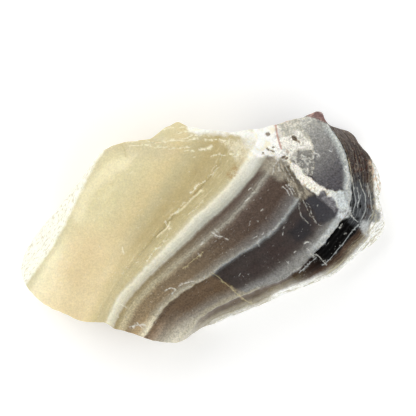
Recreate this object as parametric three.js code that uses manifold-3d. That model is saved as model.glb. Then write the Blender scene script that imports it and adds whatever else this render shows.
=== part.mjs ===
// A rough chunk of banded agate, broken out of a nodule: one piece of stone, lying on its flat broken back.
// Millimetres, +Z up. The origin is on the flat face that the stone rests on, under the middle of its
// outline. X runs along the chunk, from the honey-coloured chalcedony to the dark bands and the pale rind.
//
// The stone is made in the order in which it broke: a block with the chunk's outline, a front broken open
// along the growth bands so that each band ends in a ledge, a back broken across them, then the scars and
// the vein that stand out on the front, and the small cavities.
import * as THREE from "three";
import { ImprovedNoise } from "three/addons/math/ImprovedNoise.js";
import { mergeVertices, toCreasedNormals } from "three/addons/utils/BufferGeometryUtils.js";
import Module from "manifold-3d";

const wasm = await Module();
wasm.setup();
const perlin = new ImprovedNoise();

// The block before it is broken open. Its walls are hollowed halfway up, and lumpy.
const BLOCK_BOTTOM = -3;
const BLOCK_TOP = 24;
const BLOCK_SIDES = 136;
const BLOCK_LEVELS = 16;
const WALL_MIDDLE = 7;
const WALL_HOLLOW = 0.45;
const WALL_LUMPS = { height: 0.45, size: 5 };
const WALL_ROUGHNESS = { height: 0.22, size: 1.9 };

// The front, which is a grid of columns across the growth bands and rows along them.
const ROWS_ALONG_BANDS = 50;
const COLUMN_SPACING = 1.35;
const RISER_SHARE = 0.05; // how much of the way to the next line a ledge's wall takes
const SWELL = { height: 0.34, size: 9 };
const RIPPLE = { height: 0.13, size: 2.6 };
const WANDER = { width: 0.22, size: 2.3 }; // how far the band lines stray from their drawn course

// The back, which is a plain grid over the breaks that meet there, and is flat where the stone rests.
const BACK_SIZE = [68, 46];
const BACK_CELLS = [34, 23];
const BACK_LOWEST = -1.5; // how far down the grid follows the breaks, which is below the resting face

// The chunk's outline from above, from its left end over the top.
const OUTLINE = [
  [-31.2, -7.7], [-31.0, -5.6], [-29.8, -2.7], [-27.5, 0.3], [-25.2, 2.9], [-23.2, 5.3], [-21.5, 7.3],
  [-20.1, 9.2], [-18.8, 11.1], [-17.3, 12.9], [-15.4, 13.9], [-13.5, 14.5], [-11.3, 14.8], [-8.9, 15.1],
  [-7.7, 16.0], [-6.5, 16.9], [-5.4, 17.5], [-4.2, 18.0], [-3.1, 17.5], [-1.8, 17.1], [0.1, 16.7],
  [2.6, 16.5], [5.2, 16.2], [7.4, 16.5], [9.4, 16.7], [11.1, 17.2], [12.7, 17.6], [14.9, 18.3],
  [16.9, 18.8], [18.4, 19.4], [19.8, 19.8], [20.5, 19.5], [21.0, 18.2], [22.0, 17.3], [23.5, 16.7],
  [25.1, 16.3], [26.1, 15.5], [26.8, 14.3], [27.8, 13.1], [28.8, 11.7], [29.7, 10.0], [30.2, 8.3],
  [30.5, 6.6], [30.3, 4.8], [30.5, 3.1], [31.2, 1.9], [31.5, 0.7], [30.9, -1.0], [29.7, -2.7],
  [27.6, -4.2], [25.4, -6.0], [23.0, -8.0], [20.0, -9.5], [16.7, -10.7], [14.0, -11.7], [11.5, -12.9],
  [9.1, -13.9], [6.9, -14.8], [4.7, -15.6], [2.5, -16.6], [0.1, -17.3], [-1.8, -18.5], [-3.8, -19.7],
  [-6.2, -19.8], [-8.6, -19.4], [-10.6, -18.7], [-12.8, -17.9], [-14.9, -17.4], [-16.4, -16.4],
  [-17.9, -16.2], [-20.0, -16.2], [-21.8, -15.6], [-23.9, -14.6], [-25.9, -13.8], [-28.0, -12.4],
  [-29.7, -10.7], [-30.7, -9.2],
]; // prettier-ignore

// The lines that the growth bands draw across the front, from the left facet to the rind. Each runs from
// below the outline to above it in 12 equal steps. height is the front's height along it, at steps 0, 3, 6,
// 9 and 12, drop is how far the front steps down past it at those steps, and treads breaks the slope past
// it into thin layers. bulge raises the band past it in the middle.
const BAND_LINES = [
  {
    name: "outside the left facet",
    at: [
      [-37.1, -11.1], [-34.9, -7.3], [-33.1, -4.9], [-31.5, -2.7], [-30.3, -0.9], [-29.2, 1.2],
      [-28.1, 3.1], [-27.1, 5.1], [-26.1, 7.1], [-25.1, 9.4], [-23.7, 12.1], [-21.5, 15.5], [-19.5, 20.2],
    ], // prettier-ignore
    height: [1, 1, 1, 1, 2],
  },
  {
    name: "edge of the left facet",
    at: [
      [-32.0, -13.4], [-29.8, -9.5], [-28.0, -7.0], [-26.4, -4.8], [-25.2, -2.9], [-24.1, -0.9],
      [-23.0, 1.0], [-22.0, 3.1], [-21.0, 5.1], [-20.0, 7.3], [-18.6, 10.0], [-16.4, 13.4], [-14.4, 17.9],
    ], // prettier-ignore
    height: [12.6, 13.2, 13.8, 14, 13.5],
  },
  {
    name: "clear honey",
    at: [
      [-28.3, -18.4], [-25.6, -13.9], [-23.9, -9.9], [-22.0, -6.0], [-20.1, -2.4], [-18.3, 1.0],
      [-16.6, 3.9], [-14.9, 6.6], [-13.2, 9.2], [-11.6, 11.4], [-10.1, 13.4], [-8.6, 15.5], [-7.2, 19.9],
    ], // prettier-ignore
    height: [14.6, 15.5, 16.2, 16.2, 15.5],
  },
  {
    name: "olive honey",
    at: [
      [-23.2, -20.1], [-20.8, -16.0], [-19.1, -12.1], [-17.3, -8.2], [-15.2, -4.6], [-12.8, -1.2],
      [-10.5, 2.0], [-8.2, 5.3], [-6.0, 8.5], [-4.2, 11.4], [-2.5, 14.3], [-0.9, 16.8], [0.3, 20.7],
    ], // prettier-ignore
    height: [15.6, 16.6, 17.4, 17.7, 17],
  },
  {
    name: "honey ledge",
    at: [
      [-20.1, -20.6], [-17.9, -16.2], [-16.1, -12.4], [-13.9, -9.0], [-11.1, -5.3], [-8.2, -2.0],
      [-5.7, 1.0], [-2.6, 4.1], [0.1, 7.0], [2.3, 9.7], [4.0, 12.8], [5.4, 16.3], [6.0, 20.7],
    ], // prettier-ignore
    height: [16.3, 17.7, 18.9, 19.3, 18.5],
    drop: [0, 0.25, 0.5, 0.3, 0],
  },
  {
    name: "white band, near side",
    at: [
      [-19.1, -20.9], [-16.7, -16.0], [-14.9, -12.2], [-12.2, -9.0], [-9.4, -6.1], [-6.0, -2.6],
      [-2.6, 1.0], [1.1, 4.4], [4.5, 8.0], [6.5, 10.9], [8.1, 13.4], [9.1, 16.7], [9.4, 20.7],
    ], // prettier-ignore
    height: [16, 17.6, 18.7, 19.6, 19.5],
    bulge: 0.3,
  },
  {
    name: "white band, far side",
    at: [
      [-17.4, -20.9], [-14.9, -16.2], [-13.0, -12.4], [-10.1, -9.2], [-7.1, -6.3], [-3.3, -2.9],
      [0.1, 0.5], [3.8, 3.7], [7.2, 7.3], [9.4, 10.0], [11.1, 13.1], [11.8, 16.8], [11.8, 20.7],
    ], // prettier-ignore
    height: [15.8, 17.3, 18.5, 19.8, 19.8],
  },
  {
    name: "thin pale band",
    at: [
      [-15.4, -21.2], [-13.5, -16.8], [-11.3, -12.8], [-8.6, -10.0], [-5.2, -7.0], [-1.3, -3.6],
      [2.3, -0.7], [5.9, 2.6], [9.1, 6.5], [11.1, 9.4], [12.5, 12.2], [13.2, 16.5], [12.8, 20.7],
    ], // prettier-ignore
    height: [15.4, 17.0, 18.3, 19.7, 19.8],
    bulge: 0.35,
  },
  {
    name: "first ledge",
    at: [
      [-12.3, -22.3], [-9.9, -18.9], [-7.2, -14.6], [-3.5, -11.2], [0.8, -8.7], [5.0, -5.6], [8.9, -3.2],
      [12.7, -0.3], [16.1, 4.1], [17.6, 8.0], [17.6, 12.2], [16.2, 16.5], [14.0, 20.7],
    ], // prettier-ignore
    height: [13.9, 15.9, 17.5, 19, 19],
    drop: [0.9, 1.2, 1.6, 0.3, 0],
  },
  {
    name: "second ledge",
    at: [
      [-5.9, -22.3], [-3.1, -19.0], [0.4, -15.1], [5.0, -12.6], [10.1, -10.5], [15.2, -8.2], [19.1, -4.6],
      [22.7, -0.3], [25.1, 3.7], [25.1, 8.3], [24.1, 13.1], [21.7, 17.0], [17.4, 20.9],
    ], // prettier-ignore
    height: [11.2, 13.4, 15.6, 16.8, 16],
    drop: [0.8, 1.1, 2.4, 1.2, 0.8],
    treads: 3,
  },
  {
    name: "last dark layer",
    at: [
      [-5.2, -23.0], [-2.5, -19.4], [1.1, -15.8], [5.9, -13.4], [11.0, -11.4], [16.2, -9.2], [20.7, -6.0],
      [24.6, -1.9], [27.1, 1.5], [27.1, 7.7], [26.1, 13.1], [23.4, 17.0], [19.1, 21.6],
    ], // prettier-ignore
    height: [8.5, 10, 10.8, 12, 11.5],
    treads: 3,
  },
  {
    name: "rind",
    at: [
      [-4.5, -23.6], [-2.0, -19.7], [1.4, -16.3], [6.4, -14.1], [11.5, -12.1], [16.9, -9.9], [22.4, -7.0],
      [26.8, -2.7], [29.5, 1.2], [29.5, 7.7], [28.1, 11.7], [25.1, 16.5], [20.8, 22.4],
    ], // prettier-ignore
    height: [6.5, 7.6, 8, 8.6, 8.6],
  },
  {
    name: "outside the rind",
    at: [
      [-2.1, -26.0], [0.3, -21.8], [3.8, -18.9], [8.4, -16.7], [13.5, -14.5], [19.3, -12.4], [25.1, -9.7],
      [29.8, -5.6], [33.9, 0.2], [33.2, 8.3], [31.2, 13.8], [27.5, 18.5], [23.0, 24.1],
    ], // prettier-ignore
    height: [1, 1, 1, 1.5, 2],
  },
];
const TREAD_SLOPE = 0.3; // how much of a layered slope's fall is on the treads, the rest being risers

// The larger breaks. Each takes away what lies beyond a face through at, facing out of the stone. dish is
// how deep the face is hollowed 10 mm from there, and is negative where it swells outwards.
const TOP_EDGE = { at: [-3, 15.2, 16.6], facing: [-0.1, 0.9, 0.62], dish: 0.2, lumps: 0.3 };
const DISC = { at: [19.6, 11.6, 17.0], facing: [0.12, 0.34, 1], dish: 0.9, lumps: 0.12 };
const BACK_BREAKS = [
  { name: "under the rind", at: [15.5, -11.2, 2.2], facing: [0.42, -0.68, -0.6], dish: -1.0, lumps: 0.5 },
  { name: "under the right end", at: [30.2, 5, 2.4], facing: [0.8, 0.1, -0.6], dish: -0.7, lumps: 0.5 },
  { name: "under the top", at: [6, 16.2, 5.5], facing: [0, 0.78, -0.62], dish: 0.3, lumps: 0.4 },
  { name: "under the left end", at: [-28, -2, 2.2], facing: [-0.72, 0.4, -0.57], dish: 0.2, lumps: 0.3 },
  { name: "under the near side", at: [-18, -16.2, 6], facing: [-0.12, -0.82, -0.56], dish: 0.35, lumps: 0.4 },
];
const DISH_REACH = 10;
const DISH_LIMIT = 4; // past this many times the square of that reach, a face goes on flat
const CREASE = 0.7; // how far the stone is rounded off where two breaks meet

// The part of the front that broke away along the disc's face, and how softly it begins.
const DISC_REGION = [
  [4.5, 16], [7.5, 13.7], [9.8, 12.6], [13, 11.6], [14.8, 9.6], [17, 6.4], [21, 4.2], [26, 2], [34, 2],
  [34, 24], [4.5, 24],
]; // prettier-ignore
const DISC_REGION_EDGE = 1.8;

// Patches of the front that stand over the rest, or are sunk into it: their outlines from above.
const PATCHES = [
  {
    name: "disc scar",
    rise: -0.3,
    outline: [
      [15.9, 19], [17.2, 16.6], [18.1, 15.6], [18.7, 14.2], [19, 13.1], [19.1, 11.7], [19.1, 10.2],
      [18.6, 8.7], [19.2, 7.5], [20.2, 6.9], [21.3, 6.4], [22.4, 6.1], [23.4, 6.4], [25.2, 6.2],
      [25.6, 8], [24.6, 10.5], [24.1, 13.1], [23.4, 14.5], [22.5, 15.8], [21.3, 17.5], [19.6, 18.7],
    ], // prettier-ignore
  },
  {
    name: "small scar",
    rise: -0.22,
    outline: [
      [14.9, 12.2], [15.5, 12.4], [17.3, 13.1], [19.3, 13.3], [19.5, 11.6], [19.4, 10], [19, 8.5],
      [17.4, 8.4], [16.5, 8.9], [15.2, 10.7],
    ], // prettier-ignore
  },
  {
    name: "dark facet",
    rise: -0.3,
    outline: [
      [17.8, 5.4], [18.9, 5.2], [19.9, 4.5], [21.7, 3.9], [23.7, 2.6], [22.8, 1.4], [21.7, 1],
      [20.4, 0.6], [19.6, 0.9], [18.5, 3], [17.4, 4.5],
    ], // prettier-ignore
  },
  {
    name: "wedge",
    rise: -0.35,
    outline: [
      [13.3, 11.6], [14.6, 11.2], [15.8, 9.3], [16.5, 8.2], [19, 6], [18.1, 5.2], [16.8, 4.5], [16, 5.1],
      [14.7, 6.9], [13.4, 9.1], [13, 10.5],
    ], // prettier-ignore
  },
  {
    name: "vein",
    rise: 0.4,
    outline: [
      [13.9, 11.7], [14.3, 11.1], [15.5, 9.1], [16, 8.1], [16.9, 7.1], [18.1, 6.4], [18.9, 5.7],
      [19.9, 6.1], [20.7, 6.1], [22, 4.8], [22.8, 4.3], [22.6, 3.5], [23.9, 2.4], [24.3, 3], [24.6, 3.9],
      [24.1, 6.3], [23.5, 6.7], [22.4, 6.4], [21.4, 6.7], [20.4, 7.2], [19.4, 7.8], [18.5, 8.6],
      [17.6, 8.8], [16.6, 9.1], [15.7, 9.8], [14.7, 11.1],
    ], // prettier-ignore
  },
];
const PATCH_FLOOR = 8; // below the front everywhere, and above the back

// The small cavities of the druse at the top of the white band: middle, half-sizes, and turn in degrees.
const CAVITIES = [
  { at: [15.6, 15.05, 16.2], size: [0.8, 0.45, 1.5], turn: -38 },
  { at: [11.1, 15.75, 17.4], size: [0.75, 0.5, 0.8], turn: -10 },
  { at: [11.85, 12.85, 19.0], size: [0.8, 0.35, 0.9], turn: -24 },
  { at: [13.8, 11.8, 19.0], size: [0.6, 0.4, 1.1], turn: 8 },
];

const CREASE_ANGLE = THREE.MathUtils.degToRad(35); // an edge shows where the faces turn more than this

/** Smooth noise from about -1 to 1 whose lumps are about size millimetres across. */
function lumpy(x, y, z, size) {
  return perlin.noise(x / size + 31.4, y / size + 17.2, z / size + 5.8);
}

/** A closed geometry as a solid. */
function solidOf(geometry) {
  geometry.deleteAttribute("normal");
  geometry.deleteAttribute("uv");
  const merged = mergeVertices(geometry, 1e-4);
  return new wasm.Manifold(
    new wasm.Mesh({
      numProp: 3,
      vertProperties: merged.attributes.position.array,
      triVerts: new Uint32Array(merged.index.array),
    }),
  );
}

/** Moves every vertex of a geometry to where place(x, y, z) says. */
function warp(geometry, place) {
  const position = geometry.attributes.position;
  for (let i = 0; i < position.count; i++) {
    position.setXYZ(i, ...place(position.getX(i), position.getY(i), position.getZ(i)));
  }
  return geometry;
}

/** The unbroken block: the outline as a column with rough walls. */
function block() {
  const outline = new THREE.CatmullRomCurve3(
    OUTLINE.map(([x, y]) => new THREE.Vector3(x, y, 0)),
    true,
    "centripetal",
  );
  const around = outline.getSpacedPoints(BLOCK_SIDES);
  const cylinder = new THREE.CylinderGeometry(1, 1, 1, BLOCK_SIDES, BLOCK_LEVELS);
  return solidOf(
    warp(cylinder, (x, y, z) => {
      const height = THREE.MathUtils.lerp(BLOCK_BOTTOM, BLOCK_TOP, y + 0.5);
      if (Math.hypot(x, z) < 0.5) return [0, 0, height];
      const turn = Math.atan2(x, z) / (2 * Math.PI);
      // The outline runs clockwise seen from above, and the solid's faces have to point out.
      const corner = around[Math.round((1 - turn) * BLOCK_SIDES) % BLOCK_SIDES];
      const middle = Math.max(0, 1 - Math.abs(height - WALL_MIDDLE) / WALL_MIDDLE);
      const inset =
        WALL_HOLLOW * middle +
        WALL_LUMPS.height * lumpy(corner.x, corner.y, height, WALL_LUMPS.size) * Math.sqrt(middle) +
        WALL_ROUGHNESS.height * lumpy(corner.x, corner.y, height, WALL_ROUGHNESS.size);
      const inward = 1 - inset / corner.length();
      return [corner.x * inward, corner.y * inward, height];
    }),
  );
}

/** The height of a break's face over a point in plan. */
function breakHeight(x, y, { at, facing, dish, lumps }) {
  const out = new THREE.Vector3(...facing).normalize();
  const rise = -((x - at[0]) * out.x + (y - at[1]) * out.y) / out.z;
  const away = ((x - at[0]) ** 2 + (y - at[1]) ** 2 + rise ** 2) / DISH_REACH ** 2;
  const z = at[2] + rise;
  const hollow = dish * (Math.min(away, DISH_LIMIT) - 1);
  const roughness = lumps * (lumpy(x, y, z, 6) + 0.5 * lumpy(x, y, z, 2.6));
  return z + (hollow + roughness) / out.z;
}

/** The lower of two heights, with the crease between them rounded off. */
function lowerOf(a, b) {
  const blend = Math.max(0, 1 - Math.abs(a - b) / CREASE);
  return Math.min(a, b) - (blend * blend * CREASE) / 4;
}

/** How far a point in plan is inside an outline, which is less than 0 outside it. */
function depthInside(x, y, outline) {
  let inside = false;
  let nearest = Infinity;
  outline.forEach(([ax, ay], index) => {
    const [bx, by] = outline[(index + 1) % outline.length];
    if (ay > y !== by > y && x < ax + ((bx - ax) * (y - ay)) / (by - ay)) inside = !inside;
    const [wayX, wayY] = [bx - ax, by - ay];
    const share = ((x - ax) * wayX + (y - ay) * wayY) / (wayX * wayX + wayY * wayY);
    const along = THREE.MathUtils.clamp(share, 0, 1);
    nearest = Math.min(nearest, Math.hypot(x - ax - along * wayX, y - ay - along * wayY));
  });
  return inside ? nearest : -nearest;
}

/** The value between five that are given at steps 0, 3, 6, 9 and 12 of a band line. */
function alongLine(values, share) {
  const place = share * (values.length - 1);
  const low = Math.min(Math.floor(place), values.length - 2);
  return THREE.MathUtils.lerp(values[low], values[low + 1], place - low);
}

/** The columns of the front's grid, each a share of the way from one band line to the next. */
function columnsAcrossBands() {
  const columns = [];
  BAND_LINES.slice(0, -1).forEach((line, index) => {
    const next = BAND_LINES[index + 1];
    const middle = Math.floor(line.at.length / 2);
    const [acrossX, acrossY] = next.at[middle].map((value, axis) => value - line.at[middle][axis]);
    const width = Math.hypot(acrossX, acrossY);
    if (line.treads) {
      for (let tread = 0; tread < line.treads; tread++) {
        const start = tread / line.treads;
        const end = (tread + 1) / line.treads;
        const stepEnd = end - RISER_SHARE * 2;
        const fallen = start + TREAD_SLOPE / line.treads;
        columns.push({ index, share: start, fall: start }, { index, share: stepEnd, fall: fallen });
      }
    } else {
      const count = Math.max(2, Math.round(width / COLUMN_SPACING));
      for (let k = 0; k < count; k++) columns.push({ index, share: k / count, fall: k / count });
    }
    if (next.drop) columns.push({ index, share: 1 - RISER_SHARE, fall: 1 });
  });
  columns.push({ index: BAND_LINES.length - 2, share: 1, fall: 1 });
  return columns;
}

/** Everything under the broken front, or under it raised: a grid along the bands, with their ledges. */
function underBrokenFront(rise = 0) {
  const curves = BAND_LINES.map(
    (line) => new THREE.CatmullRomCurve3(line.at.map(([x, y]) => new THREE.Vector3(x, y, 0))),
  );
  const columns = columnsAcrossBands();
  const grid = new THREE.BoxGeometry(1, 1, 1, columns.length - 1, ROWS_ALONG_BANDS, 1);
  return solidOf(
    warp(grid, (gx, gy, gz) => {
      const column = columns[Math.round((gx + 0.5) * (columns.length - 1))];
      const along = gy + 0.5;
      const line = BAND_LINES[column.index];
      const next = BAND_LINES[column.index + 1];
      const spot = curves[column.index].getPoint(along);
      spot.lerp(curves[column.index + 1].getPoint(along), column.share);
      const x = spot.x + WANDER.width * lumpy(spot.x, spot.y, 11, WANDER.size);
      const y = spot.y + WANDER.width * lumpy(spot.x, spot.y, 12, WANDER.size);
      if (gz < 0) return [x, y, BLOCK_BOTTOM - 1];
      const start = alongLine(line.height, along) - alongLine(line.drop ?? [0, 0], along);
      const end = alongLine(next.height, along);
      const crown = (line.bulge ?? 0) * Math.sin(Math.PI * column.share);
      const swell = SWELL.height * lumpy(x, y, 0, SWELL.size);
      const ripple = RIPPLE.height * lumpy(x, y, column.index, RIPPLE.size);
      const banded = THREE.MathUtils.lerp(start, end, column.fall) + crown + swell + ripple;
      const height = lowerOf(banded, breakHeight(x, y, TOP_EDGE));
      const edge = DISC_REGION_EDGE / 2;
      const gone = THREE.MathUtils.smoothstep(depthInside(x, y, DISC_REGION), -edge, edge);
      return [x, y, THREE.MathUtils.lerp(height, lowerOf(height, breakHeight(x, y, DISC)), gone) + rise];
    }),
  );
}

/** Everything over the broken back: a grid over its breaks, cut flat where the stone rests. */
function overBrokenBack() {
  const grid = new THREE.BoxGeometry(...BACK_SIZE, 1, ...BACK_CELLS, 1);
  const breaks = solidOf(
    warp(grid, (x, y, z) => {
      if (z > 0) return [x, y, BLOCK_TOP + 1];
      const depths = BACK_BREAKS.map((broken) => -breakHeight(x, y, broken));
      return [x, y, -depths.reduce(lowerOf, -BACK_LOWEST)];
    }),
  );
  const flat = new THREE.BoxGeometry(...BACK_SIZE, BLOCK_TOP + 2).translate(0, 0, BLOCK_TOP / 2 + 1);
  return breaks.intersect(solidOf(flat));
}

/** A patch's outline as a column through the front. */
function columnOver(outline) {
  const shape = new THREE.Shape(outline.map(([x, y]) => new THREE.Vector2(x, y)));
  const column = new THREE.ExtrudeGeometry(shape, { depth: BLOCK_TOP - PATCH_FLOOR, bevelEnabled: false });
  return solidOf(column.translate(0, 0, PATCH_FLOOR));
}

/** A small rough cavity. */
function cavity({ at, size, turn }) {
  const angle = THREE.MathUtils.degToRad(turn);
  return solidOf(
    warp(new THREE.IcosahedronGeometry(1, 2), (x, y, z) => {
      const spot = new THREE.Vector3(x, y, z).multiplyScalar(1 + 0.3 * lumpy(x, y, z, 0.7));
      spot.multiply(new THREE.Vector3(...size)).applyAxisAngle(new THREE.Vector3(0, 0, 1), angle);
      return spot.add(new THREE.Vector3(...at)).toArray();
    }),
  );
}

/** A solid as a geometry that is drawn smooth, with sharp edges where its faces turn. */
function geometryOf(solid) {
  const { numVert, numProp, vertProperties, triVerts } = solid.getMesh();
  const places = new Float32Array(numVert * 3);
  for (let i = 0; i < numVert; i++) {
    places.set(vertProperties.subarray(i * numProp, i * numProp + 3), i * 3);
  }
  const geometry = new THREE.BufferGeometry();
  geometry.setAttribute("position", new THREE.BufferAttribute(places, 3));
  geometry.setIndex(new THREE.BufferAttribute(triVerts, 1));
  return toCreasedNormals(geometry, CREASE_ANGLE);
}

let stone = block().intersect(underBrokenFront()).intersect(overBrokenBack());
for (const { outline, rise } of PATCHES) {
  const column = columnOver(outline);
  const surface = underBrokenFront(rise);
  stone = rise > 0 ? stone.add(column.intersect(surface)) : stone.subtract(column.subtract(surface));
}
for (const hollow of CAVITIES) stone = stone.subtract(cavity(hollow));

const agate = new THREE.Mesh(
  geometryOf(stone),
  new THREE.MeshStandardMaterial({ color: 0xa89c7c, roughness: 0.35, metalness: 0 }),
);
agate.name = "agate_chunk";

const part = new THREE.Group();
part.add(agate);
export default part;
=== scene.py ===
"""A rough chunk of banded agate, lying on its flat broken back on a pale table."""

import math

import bpy
import numpy as np
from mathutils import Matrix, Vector, geometry, kdtree


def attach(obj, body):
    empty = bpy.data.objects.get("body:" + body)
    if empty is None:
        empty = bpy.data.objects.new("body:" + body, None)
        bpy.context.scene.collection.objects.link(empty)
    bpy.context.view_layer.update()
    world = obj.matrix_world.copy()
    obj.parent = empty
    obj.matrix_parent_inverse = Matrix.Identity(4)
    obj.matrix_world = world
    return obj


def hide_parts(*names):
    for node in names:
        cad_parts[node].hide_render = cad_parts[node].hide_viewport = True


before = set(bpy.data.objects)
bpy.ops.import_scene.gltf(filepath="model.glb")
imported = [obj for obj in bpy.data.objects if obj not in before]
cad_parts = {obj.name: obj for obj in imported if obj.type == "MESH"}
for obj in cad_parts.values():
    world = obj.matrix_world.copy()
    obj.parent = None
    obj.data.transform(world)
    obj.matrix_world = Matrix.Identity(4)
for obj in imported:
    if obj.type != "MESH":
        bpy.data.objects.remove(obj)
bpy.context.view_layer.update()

MM = 0.001  # the stone is worked out in millimetres, in the frame's own axes

# ---------------------------------------------------------------- the stone's own sizes

# The outline from above, from the left end over the top.
OUTLINE = [
    (-31.2, -7.7), (-31.0, -5.6), (-29.8, -2.7), (-27.5, 0.3), (-25.2, 2.9), (-23.2, 5.3), (-21.5, 7.3),
    (-20.1, 9.2), (-18.8, 11.1), (-17.3, 12.9), (-15.4, 13.9), (-13.5, 14.5), (-11.3, 14.8), (-8.9, 15.1),
    (-7.7, 16.0), (-6.5, 16.9), (-5.4, 17.5), (-4.2, 18.0), (-3.1, 17.5), (-1.8, 17.1), (0.1, 16.7),
    (2.6, 16.5), (5.2, 16.2), (7.4, 16.5), (9.4, 16.7), (11.1, 17.2), (12.7, 17.6), (14.9, 18.3),
    (16.9, 18.8), (18.4, 19.4), (19.8, 19.8), (20.5, 19.5), (21.0, 18.2), (22.0, 17.3), (23.5, 16.8),
    (25.1, 16.3), (26.1, 15.5), (26.8, 14.3), (27.9, 13.1), (29.0, 11.8), (30.1, 10.1), (30.6, 8.4),
    (30.8, 6.6), (30.4, 4.8), (30.9, 3.1), (31.3, 1.9), (31.5, 0.7), (31.1, -1.0), (29.8, -2.7), (27.6, -4.2),
    (25.4, -6.0), (23.0, -8.0), (20.0, -9.5), (16.7, -10.7), (14.0, -11.7), (11.5, -12.9), (9.1, -13.9),
    (6.9, -14.8), (4.7, -15.6), (2.5, -16.6), (0.1, -17.3), (-1.8, -18.5), (-3.8, -19.7), (-6.2, -19.8),
    (-8.6, -19.4), (-10.6, -18.7), (-12.8, -17.9), (-14.9, -17.4), (-16.4, -16.4), (-17.9, -16.2),
    (-20.0, -16.2), (-21.8, -15.6), (-23.9, -14.6), (-25.9, -13.8), (-28.0, -12.4), (-29.7, -10.7),
    (-30.7, -9.2),
]  # fmt: skip

NO_DROP = (0, 0, 0, 0, 0)

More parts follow.
